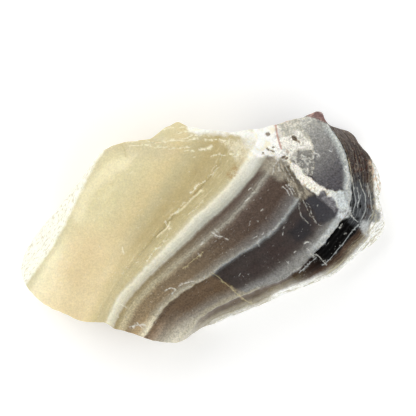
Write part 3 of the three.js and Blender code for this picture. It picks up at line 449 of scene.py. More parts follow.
# Narrow marks: for each run of one kind, how wide each mark is and the points that it passes through.
MARKS = [
    ("crest", [
        (0.17, (-16.5, 13.4), (-14.6, 14.1), (-12.9, 14.6), (-11.2, 14.7), (-9.5, 14.6), (-8.1, 14.3),
            (-6.1, 14.6), (-4.7, 14.8), (-2.8, 15.2), (-1.4, 15.5), (1.1, 15.4)),
        (0.15, (-8.25, 14.28), (-6.72, 14.45), (-4.85, 14.62), (-2.81, 14.79), (-0.77, 14.88)),
        (0.14, (-4.5, 15.81), (-3.15, 16.07), (-1.79, 16.32), (-0.26, 16.49)),
        (0.13, (-12.4, 13.9), (-9.9, 13.85), (-7.6, 13.5), (-5.9, 13.75)),
        (0.13, (-5.6, 13.2), (-3.9, 13.5), (-2.2, 13.45)),
        (0.12, (-9.4, 16.1), (-7.2, 16.4), (-5.1, 16.9), (-3.2, 16.9)),
        (0.12, (0.2, 14.7), (2.4, 14.9), (4.4, 14.6)),
    ]),
    ("ridge", [
        (0.3, (12.9, 10.8), (13, 10.1), (13.2, 9.4)),
        (0.2, (13.9, 10.7), (14.5, 9.4), (15.4, 7.9)),
        (0.16, (13.4, 10.6), (13.8, 9.2), (14.6, 7.7)),
        (0.16, (12.4, 11), (12, 9.8), (11.8, 8.8)),
    ]),
    ("chip", [
        (0.16, (-9.6, -5.7), (-8.4, -4.3), (-7.1, -3.1), (-5.9, -2.2)),
        (0.18, (-2.6, 2), (-1.2, 3.2), (-0.1, 4.3)),
        (0.16, (-1.9, 5.7), (-0.8, 6.9), (0.5, 7.8)),
        (0.3, (5.4, 12), (5.9, 12.3), (6.1, 12.9)),
    ]),
    ("crest", [(0.2, (1.9, 12.2), (2.9, 12.1), (4.4, 12.2), (5.4, 12.4))]),
    ("fold", [
        (0.42, (-0.26, 6.29), (-0.77, 5.61), (-1.53, 5.02), (-2.64, 3.91), (-3.66, 2.89), (-4.68, 2.38)),
        (0.34, (-5.53, 0.85), (-5.87, 0), (-6.97, -0.94), (-7.74, -1.7)),
    ]),
    ("chip", [
        (0.37, (-6.29, 0.85), (-5.7, -0.09), (-5.27, -0.43)),
        (0.37, (-5.19, 2.12), (-4.5, 2.47), (-4, 3.06)),
        (0.6, (-0.43, 13.18), (0.6, 13.18), (1.53, 13.69)),
    ]),
    ("scratch", [
        (0.2, (-3.15, 12.84), (-2.3, 13.04), (-1.53, 13.01)),
        (0.17, (-1.62, 11.82), (-1.19, 11.9)),
        (0.22, (1.45, 11.99), (2.12, 12.24), (2.98, 12.16)),
        (0.19, (1.28, 8.84), (1.7, 8.93), (1.96, 9.35), (2.21, 9.69), (2.81, 10.2)),
        (0.17, (1.62, 9.52), (1.79, 9.95), (2.3, 10.37)),
        (0.22, (-13.6, -3.4), (-13.52, -3.91), (-13.26, -4.5)),
        (0.17, (-11.22, -6.04), (-10.88, -5.87)),
        (0.19, (-14.79, -12.92), (-14.03, -13.18), (-12.92, -13.86)),
    ]),
    ("chip", [(0.29, (-6.21, -10.71), (-5.44, -10.37), (-4.59, -10.62), (-5.1, -11.22))]),
    ("scratch", [(0.22, (-4, -10.03), (-3.32, -9.69), (-2.47, -9.44), (-1.45, -9.18))]),
    ("chip", [
        (0.24, (-12.16, -16.92), (-10.97, -16.66), (-9.69, -16.66)),
        (0.24, (-11.05, -16.32), (-10.46, -16.92), (-9.95, -17.51)),
    ]),
    ("scratch", [
        (0.24, (1.79, -1.02), (2.47, -1.45), (3.32, -1.62), (4.33, -2.12)),
        (0.2, (2.12, -0.6), (2.81, -1.28)),
        (0.27, (-0.6, -4.64), (-0.49, -4.76)),
        (0.26, (-0.26, -2.98), (0.17, -2.72)),
        (0.26, (7.4, 4.5), (7.91, 4.93)),
        (0.22, (7.82, 6.29), (8.33, 6.8)),
        (0.2, (8.25, 5.7), (8.76, 5.87)),
        (0.15, (13.6, 6.8), (14.2, 6.29), (14.71, 5.44)),
        (0.15, (14.11, 7.06), (14.71, 6.46), (15.3, 5.53)),
        (0.15, (14.54, 7.14), (15.22, 6.46), (15.73, 5.7)),
        (0.2, (9.95, 2.81), (10.2, 3.06)),
        (0.24, (10.12, -1.28), (10.37, -1.02)),
        (0.27, (11.99, -0.43), (12.33, -0.17)),
        (0.24, (9.27, 1.02), (9.52, 0.77)),
        (0.2, (13.86, 0.17), (13.69, -0.51), (13.6, -1.36)),
        (0.2, (9.35, -2.72), (9.61, -3.32)),
        (0.17, (8.76, -1.79), (9.27, -1.53)),
        (0.27, (16.15, 4.59), (16.49, 5.02)),
    ]),
    ("chip", [
        (0.34, (20.32, -1.79), (20.83, -1.45), (21.42, -1.53)),
        (0.26, (17.34, -2.81), (17.77, -2.55), (18.28, -2.64)),
    ]),
    ("scratch", [
        (0.24, (15.56, -4.33), (15.9, -4.08)),
        (0.2, (17.77, -3.66), (18.02, -3.83)),
        (0.19, (14.37, -5.95), (14.54, -6.12)),
        (0.22, (19.04, -4.59), (19.64, -4.85), (20.23, -5.44), (21, -6.29)),
        (0.19, (18.45, -4.5), (18.96, -4.93)),
        (0.15, (23.29, -0.09), (23.8, 0.51)),
        (0.14, (24.23, -1.1), (24.48, -0.94)),
    ]),
    ("ridge", [
        (0.17, (16.32, 4.25), (16.32, 3.23), (16.75, 2.21), (17.43, 1.19), (17.85, 0.77)),
        (0.17, (17.17, 4.59), (17.6, 3.4), (18.19, 2.21), (19.04, 1.19), (19.98, 0.26), (20.57, 0.34)),
        (0.14, (17.6, 4.17), (18.11, 3.66), (18.45, 2.55), (18.79, 1.7)),
    ]),
    ("hairline", [
        (0.15, (-3.32, -6.97), (-2.12, -6.04), (-0.94, -5.1), (0.09, -4.25)),
        (0.17, (1.62, -7.82), (2.47, -8.33), (3.49, -9.18), (4.5, -10.12), (5.7, -11.22), (6.72, -11.99),
            (7.4, -12.58), (8.42, -13.26)),
        (0.14, (-14.03, 14.28), (-13.35, 13.26), (-13.01, 12.07)),
    ]),
    ("chip", [(0.54, (18.96, 12.67), (19.55, 12.33), (19.72, 11.9))]),
    ("scratch", [
        (0.22, (21.42, 13.09), (21.93, 12.75)),
        (0.26, (18.02, 11.31), (18.28, 11.14)),
        (0.26, (17.77, 9.95), (18.19, 9.61)),
        (0.17, (17.09, 12.07), (17.26, 11.9)),
        (0.17, (16.66, 11.14), (16.83, 11.05)),
        (0.37, (24.31, 10.29), (24.82, 9.52)),
        (0.31, (24.1, 9.8), (24.5, 9.2)),
        (0.24, (24.06, 11.48), (24.31, 10.88)),
    ]),
    ("ridge", [(0.3, *DISC_EDGE)]),
    ("layer", [
        (0.16, (25.5, 8.3), (25.7, 6.3), (26.1, 4.3), (25.8, 3.2), (25.6, 2.4)),
        (0.18, (26.9, 5.4), (26.8, 4.8), (26.6, 4.1)),
        (0.18, (26.8, 7.9), (27.3, 6.4), (27.8, 5.3), (27.8, 4.1), (27.9, 3.2), (27.5, 2), (26.9, 0.9),
            (26.6, 0.2)),
        (0.16, (28.2, 7.4), (28.7, 5.4), (28.8, 4.1), (29, 3.1), (29.2, 2.4), (28.6, 1.7), (28.1, 0.5)),
        (0.15, (26.8, 0.5), (25.4, -0.9), (24.2, -2.6), (22.9, -4.1), (21.7, -5.6), (20.6, -6.5)),
        (0.15, (19.4, -5.2), (17.9, -6.5), (16.4, -7.9)),
        (0.18, (24.7, 2.9), (25.1, 2.1), (25.8, 1.4), (26.6, 0.8)),
    ]),
    ("chip", [(0.16, (25.2, 2.6), (25.5, 1.9), (25.9, 1.5))]),
    ("layer", [
        (0.24, (26.8, 0), (27.6, 0.2)),
        (0.15, (28.1, 7), (28.3, 6.2), (28.4, 5.2)),
        (0.13, (26.3, 6.6), (26.6, 5.4), (26.4, 3.4)),
    ]),
    ("rust", [(0.4, (12.41, 17.4), (12.67, 15.73), (13.01, 14.45), (13.35, 13.26))]),
    ("layer", [(0.12, (24.8, 11.5), (25.1, 10.2), (25.3, 8.8), (25.6, 7.2), (25.8, 6.4))]),
]  # fmt: skip
LINES = [(kind, width, points) for kind, marks in MARKS for width, *points in marks]
LINE_RISE = dict(
    crest=-0.08, fold=0.16, chip=-0.14, scratch=-0.04, ridge=0.14, hairline=-0.06, layer=0.03, rust=-0.05
)

# The pits of the druse: middle, half its length, half its width, turn in degrees and depth.
PITS = [
    dict(at=(15.6, 15.05), long=0.62, wide=0.3, turn=-38, deep=0.9),
    dict(at=(16.3, 14.5), long=0.35, wide=0.2, turn=-20, deep=0.35),
    dict(at=(11.1, 15.75), long=0.6, wide=0.36, turn=-10, deep=0.4),
    dict(at=(10.3, 12.55), long=0.24, wide=0.2, turn=20, deep=0.45),
    dict(at=(11.1, 13.2), long=0.34, wide=0.17, turn=-35, deep=0.45),
    dict(at=(11.85, 12.85), long=0.62, wide=0.13, turn=-24, deep=0.4),
    dict(at=(12.0, 13.5), long=0.32, wide=0.24, turn=0, deep=0.4),
    dict(at=(14.4, 12.8), long=0.32, wide=0.42, turn=10, deep=0.3),
    dict(at=(13.75, 11.85), long=0.42, wide=0.2, turn=8, deep=0.55),
    dict(at=(14.2, 11.6), long=0.4, wide=0.22, turn=25, deep=0.45),
]


def inside(spots, ring):
    """Which points lie inside a ring."""
    within = np.zeros(len(spots), bool)
    x, y = spots.T
    for (ax, ay), (bx, by) in zip(ring, np.roll(ring, -1, 0)):
        if ay == by:
            continue
        crosses = (ay > y) != (by > y)
        within ^= crosses & (x < (bx - ax) * (y - ay) / (by - ay) + ax)
    return within


def from_line(spots, points):
    """How far points in plan are from a polyline."""
    least = np.full(len(spots), np.inf)
    for start, end in zip(points[:-1], points[1:]):
        start, end = np.array(start, float), np.array(end, float)
        way = end - start
        share = np.clip(((spots - start) @ way) / (way @ way), 0, 1)
        least = np.minimum(least, np.linalg.norm(spots - start - share[:, None] * way, axis=1))
    return least


def near(spots, points, margin):
    """Which points in plan are in a line's box, widened by a margin."""
    low, high = np.min(points, 0) - margin, np.max(points, 0) + margin
    return ((spots > low) & (spots < high)).all(1)


def area_mask(spots, name):
    """1 in an area of the front, 0 outside it."""
    ring, edge, ragged = (AREAS[name][key] for key in ("ring", "edge", "ragged"))
    mask = np.zeros(len(spots))
    here = near(spots, ring, edge + ragged + 0.5)
    some = spots[here]
    if len(some):
        within = inside(some, ring)
        away = from_line(some, ring + ring[:1])
        depth = np.where(within, away, -away) + ragged * rough(some, 0.9 + edge, 71)
        mask[here] = smooth(-edge / 2, edge / 2, depth)
    return mask


def smoothed(points):
    """A polyline with its corners rounded."""
    return spline(points, np.linspace(0, 1, 4 * len(points) - 3)) if len(points) > 2 else points


def line_masks(spots):
    """How much each kind of narrow mark covers points in plan, and how much it raises them."""
    masks = {kind: np.zeros(len(spots)) for kind in LINE_RISE}
    rise = np.zeros(len(spots))
    for number, (kind, width, points) in enumerate(LINES):
        here = near(spots, points, 3 * width)
        some = spots[here]
        if not len(some):
            continue
        swing = np.column_stack([lumps(some, 1.1, seed) for seed in (76, 77)])
        away = from_line(some + (0.05 if kind == "layer" else 0.13) * swing, smoothed(points))
        torn = kind in ("crest", "chip")
        ragged = 0.45 * lumps(some, 0.7, 80 + number) if torn else 0.3 * lumps(some, 0.5, 80)
        reach = width * (0.58 + ragged)
        cover = 1 - smooth(0.35, 1.0, away / np.maximum(reach, 0.02))
        if kind == "crest":
            cover *= smooth(-0.7, -0.1, lumps(some, 0.9, 140 + number))
        masks[kind][here] = np.maximum(masks[kind][here], cover)
        rise[here] += LINE_RISE[kind] * cover
    return masks, rise


def pit_depth(spots):
    """How deep the druse's pits are at points in plan."""
    depth = np.zeros(len(spots))
    for number, pit in enumerate(PITS):
        turn = math.radians(pit["turn"])
        away = spots - pit["at"]
        long = (away[:, 0] * math.cos(turn) + away[:, 1] * math.sin(turn)) / pit["long"]
        wide = (-away[:, 0] * math.sin(turn) + away[:, 1] * math.cos(turn)) / pit["wide"]
        reach = np.hypot(long, wide) + 0.3 * lumps(spots, 0.45, 160 + number)
        depth = np.maximum(depth, pit["deep"] * (1 - smooth(0.55, 1.15, reach)))
    return depth


# ---------------------------------------------------------------- the mesh


def ledges(along):
    """The number of each ledge's band line, and how wide the band inside it is at shares of the way along."""
    for number, line in enumerate(BAND_LINES):
        if "drop" in line:
            index = np.full(len(along), number)
            yield number, np.linalg.norm(on_line(index, along) - on_line(index - 1, along), axis=1)


def edge_wear(spots, growth, along):
    """How much the ledges' rims have chipped off, which leaves them ragged."""
    worn = np.zeros(len(spots))
    for number, wide in ledges(along):
        back = (number - growth) * wide - RISER_WIDTH
        bite = smooth(0.1, 0.5, lumps(spots, 0.75, 90 + number)) * 0.2 + 0.05
        reach = 0.16 + 0.22 * smooth(0.0, 0.6, lumps(spots, 1.3, 95 + number))
        worn += np.where((back > -0.05) & (back < reach), bite * (1 - np.clip(back / reach, 0, 1)), 0)
    return worn


def front_surface(spots):
    """The height of the front at points in plan, with the growth coordinate and every mask there."""
    growth, along = band_place(spots + wander(spots))
    masks = {name: area_mask(spots, name) for name in AREAS}
    height = band_height(growth, along) + 0.3 * lumps(spots, 9, 1) + 0.1 * lumps(spots, 2.6, 2)
    top_edge, disc = (break_height(spots, broken) for broken in FRONT_BREAKS)
    height = np.minimum(height, top_edge)
    height += (np.minimum(height, disc) - height) * masks.pop("disc face")
    away = np.linalg.norm(spots - DISC_BLOW, axis=1)
    fall = smooth(0, 5.0, (spots - DISC_TOP) @ (0.86, -0.5))
    scar = AREAS["disc scar"]["rise"] * fall + RIPPLE_HEIGHT * np.sin(away * 2 * math.pi / RIPPLE_LENGTH)
    height += scar * masks["disc scar"]
    for name, area in AREAS.items():
        if name in masks and name != "disc scar":
            height += area.get("rise", 0) * masks[name]
    crumbly = (("druse", 0.07, 0.8, 171), ("small scar", 0.06, 0.7, 172), ("vein", 0.07, 0.9, 173))
    for name, deep, size, seed in crumbly:
        height += masks[name] * deep * rough(spots, size, seed)
    worn = edge_wear(spots, growth, along)
    height -= worn
    # Worn rims are painted pale further on, partly as crushed stone and partly as a painted glint where the
    # edges catch the light.
    masks["worn and glinting rim"] = smooth(0.04, 0.2, worn)
    # A painted highlight along the disc scar's raised right edge.
    masks["disc rim highlight"] = masks["disc scar"] * (1 - smooth(0.1, 1.2, from_line(spots, DISC_EDGE)))
    lines, rise = line_masks(spots)
    depth = pit_depth(spots)
    masks.update(lines)
    masks["pit"] = smooth(0.05, 0.42, depth)
    height += rise - depth
    facet = 1 - smooth(0.9, 1.05, growth)
    rind = smooth(10.6, 11.1, growth)
    height += 0.09 * facet * rough(spots, 0.5, 174) + 0.14 * rind * rough(spots, 0.9, 175)
    masks["facet"] = facet
    return height, growth, along, masks


def gone_along(points):
    """How far along a polyline each of its points is."""
    return np.concatenate([[0], np.cumsum(np.linalg.norm(np.diff(points, axis=0), axis=1))])


def walked(points, gone, stops):
    """The places at these lengths along a polyline."""
    return np.column_stack([np.interp(stops, gone, points[:, k]) for k in (0, 1)])


def rim_points():
    """The outline in even steps, anticlockwise seen from above, and which way is outward."""
    drawn = spline(OUTLINE, np.linspace(0, 1, OUTLINE_STEPS, endpoint=False), closed=True)[::-1]
    closed = np.vstack([drawn, drawn[:1]])
    gone = gone_along(closed)
    even = walked(closed, gone, np.linspace(0, gone[-1], int(gone[-1] / RIM_STEP), endpoint=False))
    way = np.roll(even, -1, 0) - np.roll(even, 1, 0)
    outward = np.column_stack([way[:, 1], -way[:, 0]]) / np.linalg.norm(way, axis=1)[:, None]
    return even - outward * (RIM_INSET + RIM_INSET * rough(even, 1.6, 41))[:, None], outward


def staggered(low, high, grain):
    """A field of points in staggered rows, each nudged a little."""
    rows = []
    for number, y in enumerate(np.arange(low[1], high[1], grain * ROW_SHARE)):
        xs = np.arange(low[0], high[0], grain) + (grain / 2 if number % 2 else 0)
        rows.append(np.column_stack([xs, np.full(len(xs), y)]))
    field = np.vstack(rows)
    nudges = np.column_stack([lumps(field, grain * 1.7, seed) for seed in (51, 52)])
    return field + 0.2 * grain * nudges


def thinned(groups, gaps):
    """Points from each group in turn, leaving out those too near to ones that are already there."""
    cell = 0.05
    low = np.min(OUTLINE, 0) - 1
    size = ((np.max(OUTLINE, 0) + 1 - low) / cell).astype(int)
    taken = np.zeros(size, bool)
    kept = []
    for spots, gap in zip(groups, gaps):
        reach = max(1, round(gap / cell))
        for spot, (i, j) in zip(spots, np.floor((spots - low) / cell).astype(int)):
            if not taken[i - reach : i + reach + 1, j - reach : j + reach + 1].any():
                taken[i, j] = True
                kept.append(spot)
    return np.array(kept)


def ledge_points():
    """Points along the rim, the middle and the foot of every ledge."""
    rows = []
    along = np.linspace(0, 1, round(60 / LINE_GRAIN))
    for number, wide in ledges(along):
        for back in (RISER_WIDTH + 0.12, RISER_WIDTH, RISER_WIDTH / 2, 0.0, -0.14):
            rows.append(band_spot(number - back / wide, along))
    spots = np.vstack(rows)
    return spots - wander(spots)


def mark_points():
    """Points along every narrow mark, on its middle and on both its sides."""
    rows = []
    for _, width, points in LINES:
        points = np.array(smoothed(points), float)
        gone = gone_along(points)
        middle = walked(points, gone, np.arange(0, gone[-1] + 0.01, MARK_STEP))
        way = np.gradient(middle, axis=0) if len(middle) > 1 else np.array([[1.0, 0.0]])
        side = np.column_stack([-way[:, 1], way[:, 0]]) / np.linalg.norm(way, axis=1)[:, None]
        rows += [middle, middle + side * width * 0.65, middle - side * width * 0.65]
    for pit in PITS:
        turn = math.radians(pit["turn"])
        across = np.array([[math.cos(turn), math.sin(turn)], [-math.sin(turn), math.cos(turn)]])
        for share in (0.3, 0.6, 0.85, 1.1):
            angles = np.linspace(0, 2 * math.pi, round(14 * share + 4), endpoint=False)
            ring = np.column_stack([np.cos(angles) * pit["long"], np.sin(angles) * pit["wide"]]) * share
            rows.append(ring @ across + pit["at"])
    return np.vstack(rows)


def triangles(ring, field):
    """Triangles between a ring's points and those of a field inside it, anticlockwise."""
    spots = np.vstack([ring, field])
    corners = [Vector(spot) for spot in spots.tolist()]
    made = geometry.delaunay_2d_cdt(corners, [], [list(range(len(ring)))], 1, 1e-7, True)
    numbers = np.array([origins[0] for origins in made[3]])
    faces = numbers[np.array(made[2])]
    faces = faces[inside(spots[faces].mean(axis=1), ring)]
    first, second, third = (spots[faces[:, k]] for k in range(3))
    ahead, back = second - first, third - first
    turned = ahead[:, 0] * back[:, 1] < ahead[:, 1] * back[:, 0]
    faces[turned] = faces[turned][:, ::-1]
    return faces


def wall_rows(ring, outward, tops, bottoms):
    """Rings of points from the front's edge down to the back's, between them."""
    depth = tops - bottoms
    levels = round(depth.max() / WALL_STEP)
    rows = []
    for level in range(1, levels):
        share = level / levels
        spots = np.column_stack([ring, tops - share * depth])
        hollow = np.sin(math.pi * share) * depth * (0.06 + 0.06 * rough(spots, 5, 61))
        inset = hollow + 0.07 * rough(spots, 0.9, 62) * min(1, 4 * share, 4 * (1 - share))
        spots[:, :2] -= outward * inset[:, None]
        rows.append(spots)
    return rows


def stone_parts():
    """The stone's points, faces, growth coordinates and masks."""
    ring, outward = rim_points()
    low, high = ring.min(0), ring.max(0)
    base, fine = staggered(low, high, FRONT_GRAIN), staggered(low, high, FINE_GRAIN)
    fine = fine[(fine[:, 0] > FINE_FROM[0]) & (fine[:, 1] > FINE_FROM[1])]
    inner = ring - outward * FRONT_MARGIN
    groups = [spots[inside(spots, inner)] for spots in (ledge_points(), mark_points(), fine, base)]
    field = thinned(groups, (LEDGE_GAP, MARK_GAP, FINE_GAP, FRONT_GAP))
    front = np.vstack([ring, field])
    heights, growth, along, masks = front_surface(front)

    count = len(ring)
    tops = heights[:count]
    bottoms = np.minimum(back_height(ring), tops - THINNEST)
    rows = wall_rows(ring, outward, tops, bottoms)
    back_field = staggered(low, high, BACK_GRAIN)
    back_field = back_field[inside(back_field, ring - outward * BACK_MARGIN)]
    under = np.vstack([ring, back_field])
    under_heights = np.concatenate([bottoms, back_height(back_field)])
    behind = np.vstack([*rows, np.column_stack([under, under_heights])])

    # Behind the front the bands lean towards the rind, so a point's place along them shifts with its depth.
    over = heights[nearest(plan_tree(front), behind[:, :2])]
    depth = np.maximum(over - behind[:, 2], 0)
    shifted = behind[:, :2] + np.outer(depth * BAND_DIP, BAND_DIP_WAY)
    back_growth, back_along = band_place(shifted + wander(shifted))
    fading = 1 - smooth(2.0, 5.0, depth)
    for name in masks:
        back_mask = np.zeros(len(behind))
        if name in OVER_THE_EDGE:
            back_mask = area_mask(behind[:, :2] * BACK_SHARE, name) * fading
        masks[name] = np.concatenate([masks[name], back_mask])
    masks["facet"][len(front) :] = 0
    masks["growth"] = np.concatenate([growth, back_growth])
    masks["along"] = np.concatenate([along, back_along])

    starts = [0] + [len(front) + count * k for k in range(len(rows) + 1)]
    around = np.arange(count)
    ahead = (around + 1) % count
    faces = triangles(ring, field).tolist()
    for upper, lower in zip(starts[:-1], starts[1:]):
        faces += np.column_stack([upper + ahead, upper + around, lower + around, lower + ahead]).tolist()
    faces += (triangles(ring, back_field)[:, ::-1] + starts[-1]).tolist()
    return np.vstack([np.column_stack([front, heights]), behind]), faces, masks


def smokiness(growth, along):
    """How smoky the bands are: each darkens away from the stone's clear end, some of them sooner."""
    bands = (5.0, 6.0, 7.93, 7.97, 8.9, 9.05)
    starts = np.interp(growth, bands, (0.2, 0.08, 0.08, 0.345, 0.295, 0.36))
    ends = np.interp(growth, bands, (0.5, 0.6, 0.6, 0.355, 0.305, 0.47))
    return smooth(starts, ends, along)


def build_stone():
    places, faces, masks = stone_parts()
    mesh = bpy.data.meshes.new("agate_stone")
    mesh.from_pydata((places * MM).tolist(), [], faces)
    mesh.update()
    growth, along = masks["growth"], masks["along"]
    masks["smoke"] = smokiness(growth, along)
    masks["side"] = smooth(0.43, 0.52, along) * smooth(8.96, 9.0, growth)
    # The lower tip is pale, and so are the bands that end there.
    masks["tip"] = (1 - smooth(0.04, 0.2, along)) * smooth(7.97, 8.9, growth)
    low_end = 0.35 * smooth(6.0, 6.6, growth) + 0.65 * smooth(7.2, 7.9, growth)
    low_end *= 1 - 0.75 * smooth(8.1, 8.5, growth)
    masks["low end"] = (1 - smooth(0.08, 0.2, along)) * low_end
    # Past the lower part, the outer bands' colours come early.
    early = 0.08 * smooth(8.5, 8.7, growth) + 0.52 * smooth(9.05, 9.5, growth)
    masks["early"] = early * smooth(0.32, 0.37, along)
    masks["right side"] = smooth(0.61, 0.65, along) * masks["side"]
    masks["upper side"] = smooth(0.7, 0.8, along) * masks["side"]
    for name, values in masks.items():
        layer = mesh.attributes.new(name.replace(" ", "_"), "FLOAT", "POINT")
        layer.data.foreach_set("value", values.astype(np.float32))
    mesh.polygons.foreach_set("use_smooth", np.ones(len(mesh.polygons), bool))
    mesh.set_sharp_from_angle(angle=math.radians(SHARP_ANGLE))
    made = bpy.data.objects.new("agate_stone", mesh)
    bpy.context.collection.objects.link(made)
    return made, masks


# ---------------------------------------------------------------- colours

# sRGB, from 0 to 255.
TONES = {
    "facet white": (251, 251, 234), "crease": (216, 208, 170), "pale cream": (243, 234, 197),
    "cream": (238, 223, 182), "honey": (228, 211, 168), "deep honey": (214, 198, 152),
    "green honey": (219, 209, 166), "olive": (183, 166, 118), "khaki": (203, 190, 148),
    "dull khaki": (194, 182, 140), "straw": (206, 197, 163), "band white": (232, 228, 206),
    "band mid": (215, 213, 196), "cool grey": (186, 186, 172), "pale tan": (194, 181, 150),
    "coffee": (102, 82, 60), "toffee": (167, 152, 113), "clear tan": (190, 178, 144),
    "bronze": (146, 127, 96), "clear mid": (220, 215, 189), "clear grey": (206, 196, 171),
    "taupe": (132, 125, 113), "thin grey": (162, 158, 145), "thin tan": (186, 178, 154),
    "smoke": (102, 87, 76), "deep smoke": (84, 68, 57), "ash": (122, 118, 114), "slate": (74, 66, 61),
    "night": (59, 50, 46), "lilac grey": (120, 118, 114), "grey rim": (152, 152, 147), "rim": (186, 190, 188),
    "bark": (76, 58, 46), "side tan": (78, 62, 50), "strip brown": (96, 78, 56), "strip tan": (88, 71, 50),
    "cool tan": (124, 112, 84), "rind cream": (222, 216, 196), "apricot": (226, 196, 168),
    "rind": (253, 253, 247), "milk": (246, 240, 218), "streak": (186, 180, 152), "bruise": (240, 239, 230),
    "crumb": (250, 246, 220), "hairline": (196, 184, 140), "rust": (176, 116, 94), "nub": (128, 102, 98),
    "pale nub": (180, 154, 146), "vein": (243, 239, 227), "dusk": (84, 81, 84), "pewter": (158, 157, 152),
    "pale pewter": (206, 204, 194), "disc highlight": (192, 197, 193), "dun crumb": (138, 128, 118),
    "shoulder": (222, 218, 204), "dull shoulder": (192, 190, 177), "scuffed": (146, 145, 147),
    "dark scuff": (88, 85, 88), "plum": (92, 68, 70), "haze": (84, 86, 89), "facet shade blue": (52, 52, 58),
    "dark blue": (32, 30, 34), "peat": (62, 47, 43), "wedge": (104, 95, 80), "pale wedge": (176, 167, 148),
    "dull ash": (138, 136, 130), "vein grey": (204, 210, 209), "pit": (120, 96, 66), "blush": (222, 202, 157),
    "amber": (172, 138, 86), "pale corner": (230, 222, 194), "line grey": (160, 164, 162),
    "side brown": (52, 38, 31), "side black": (4, 3, 3), "umber": (68, 60, 57), "dull umber": (110, 100, 95),
    "ember": (52, 37, 29), "strip grey": (142, 134, 114), "strip cream": (156, 148, 128),
    "side dun": (92, 78, 62), "side grey": (118, 108, 90), "side chalk": (142, 134, 120),
    "root grey": (172, 165, 147), "crushed": (216, 220, 220), "tooth": (104, 106, 104),
    "corner chalk": (226, 230, 228), "red umber": (72, 48, 40),
}  # fmt: skip

# Each tone along the growth coordinate: at the stone's clear end, at its smoky end, and on its right side.
# Towards each ledge's rim the tones pale, and just past it they darken: partly the bands' own colours, partly
# a painted glow where light comes through the thin rim and painted shade at the ledge's foot.
CLEAR_RAMP = [
    (0.93, "facet white"), (1.02, "crease"), (1.25, "pale cream"), (1.9, "cream"), (2.4, "honey"),
    (3.2, "honey"), (3.6, "deep honey"), (4.0, "khaki"), (4.9, "khaki"), (5.12, "straw"),
    (5.28, "band white"), (5.75, "clear mid"), (6.1, "clear grey"), (6.26, "toffee"), (6.5, "toffee"),
    (6.78, "clear tan"), (7.05, "clear tan"), (7.22, "bronze"), (7.65, "bronze"), (7.9, "thin tan"),
    (7.98, "thin tan"), (8.02, "coffee"), (8.5, "coffee"), (8.8, "taupe"), (8.98, "thin tan"), (9.01, "bark"),
    (9.2, "strip brown"), (9.65, "strip tan"), (10.1, "cool tan"), (10.5, "strip grey"),
    (10.85, "strip cream"), (11.35, "rind"),
]  # fmt: skip
SMOKY_RAMP = [
    (0.93, "facet white"), (1.02, "crease"), (1.3, "green honey"), (2.2, "green honey"), (2.8, "deep honey"),
    (3.15, "dull khaki"), (3.6, "olive"), (4.8, "dull khaki"), (5.08, "straw"), (5.22, "band white"),
    (5.5, "band mid"), (6.03, "cool grey"), (6.14, "taupe"), (6.24, "smoke"), (6.45, "smoke"), (6.9, "taupe"),
    (6.98, "thin grey"), (7.02, "thin grey"), (7.1, "smoke"), (7.25, "deep smoke"), (7.6, "deep smoke"),
    (7.87, "ash"), (7.98, "line grey"), (8.03, "night"), (8.54, "night"), (8.66, "slate"),
    (8.78, "lilac grey"), (8.97, "grey rim"), (9.01, "ember"), (10.0, "ember"), (10.5, "bark"),
    (11.1, "rind"),
]  # fmt: skip
SIDE_RAMP = [
    (8.93, "rim"), (8.98, "side black"), (10.18, "side black"), (10.28, "side brown"), (10.38, "side tan"),
    (10.6, "side tan"), (10.75, "side dun"), (10.9, "side grey"), (11.05, "side chalk"), (11.2, "rind"),
]  # fmt: skip
LAST_GROWTH = 12.0

WHITE = (1, 1, 1, 1)
SCATTER_TINT = (1.0, 0.75, 0.45)  # how far red, green and blue light spread in the stone, as shares
CHALCEDONY_IOR = 1.54
RELIEF_STRENGTH = 0.6


def tone(name):
    """A named tone as a linear colour."""
    parts = [value / 255 for value in TONES[name]]
    return (*(p / 12.92 if p <= 0.04045 else ((p + 0.055) / 1.055) ** 2.4 for p in parts), 1)


# ---------------------------------------------------------------- building node trees


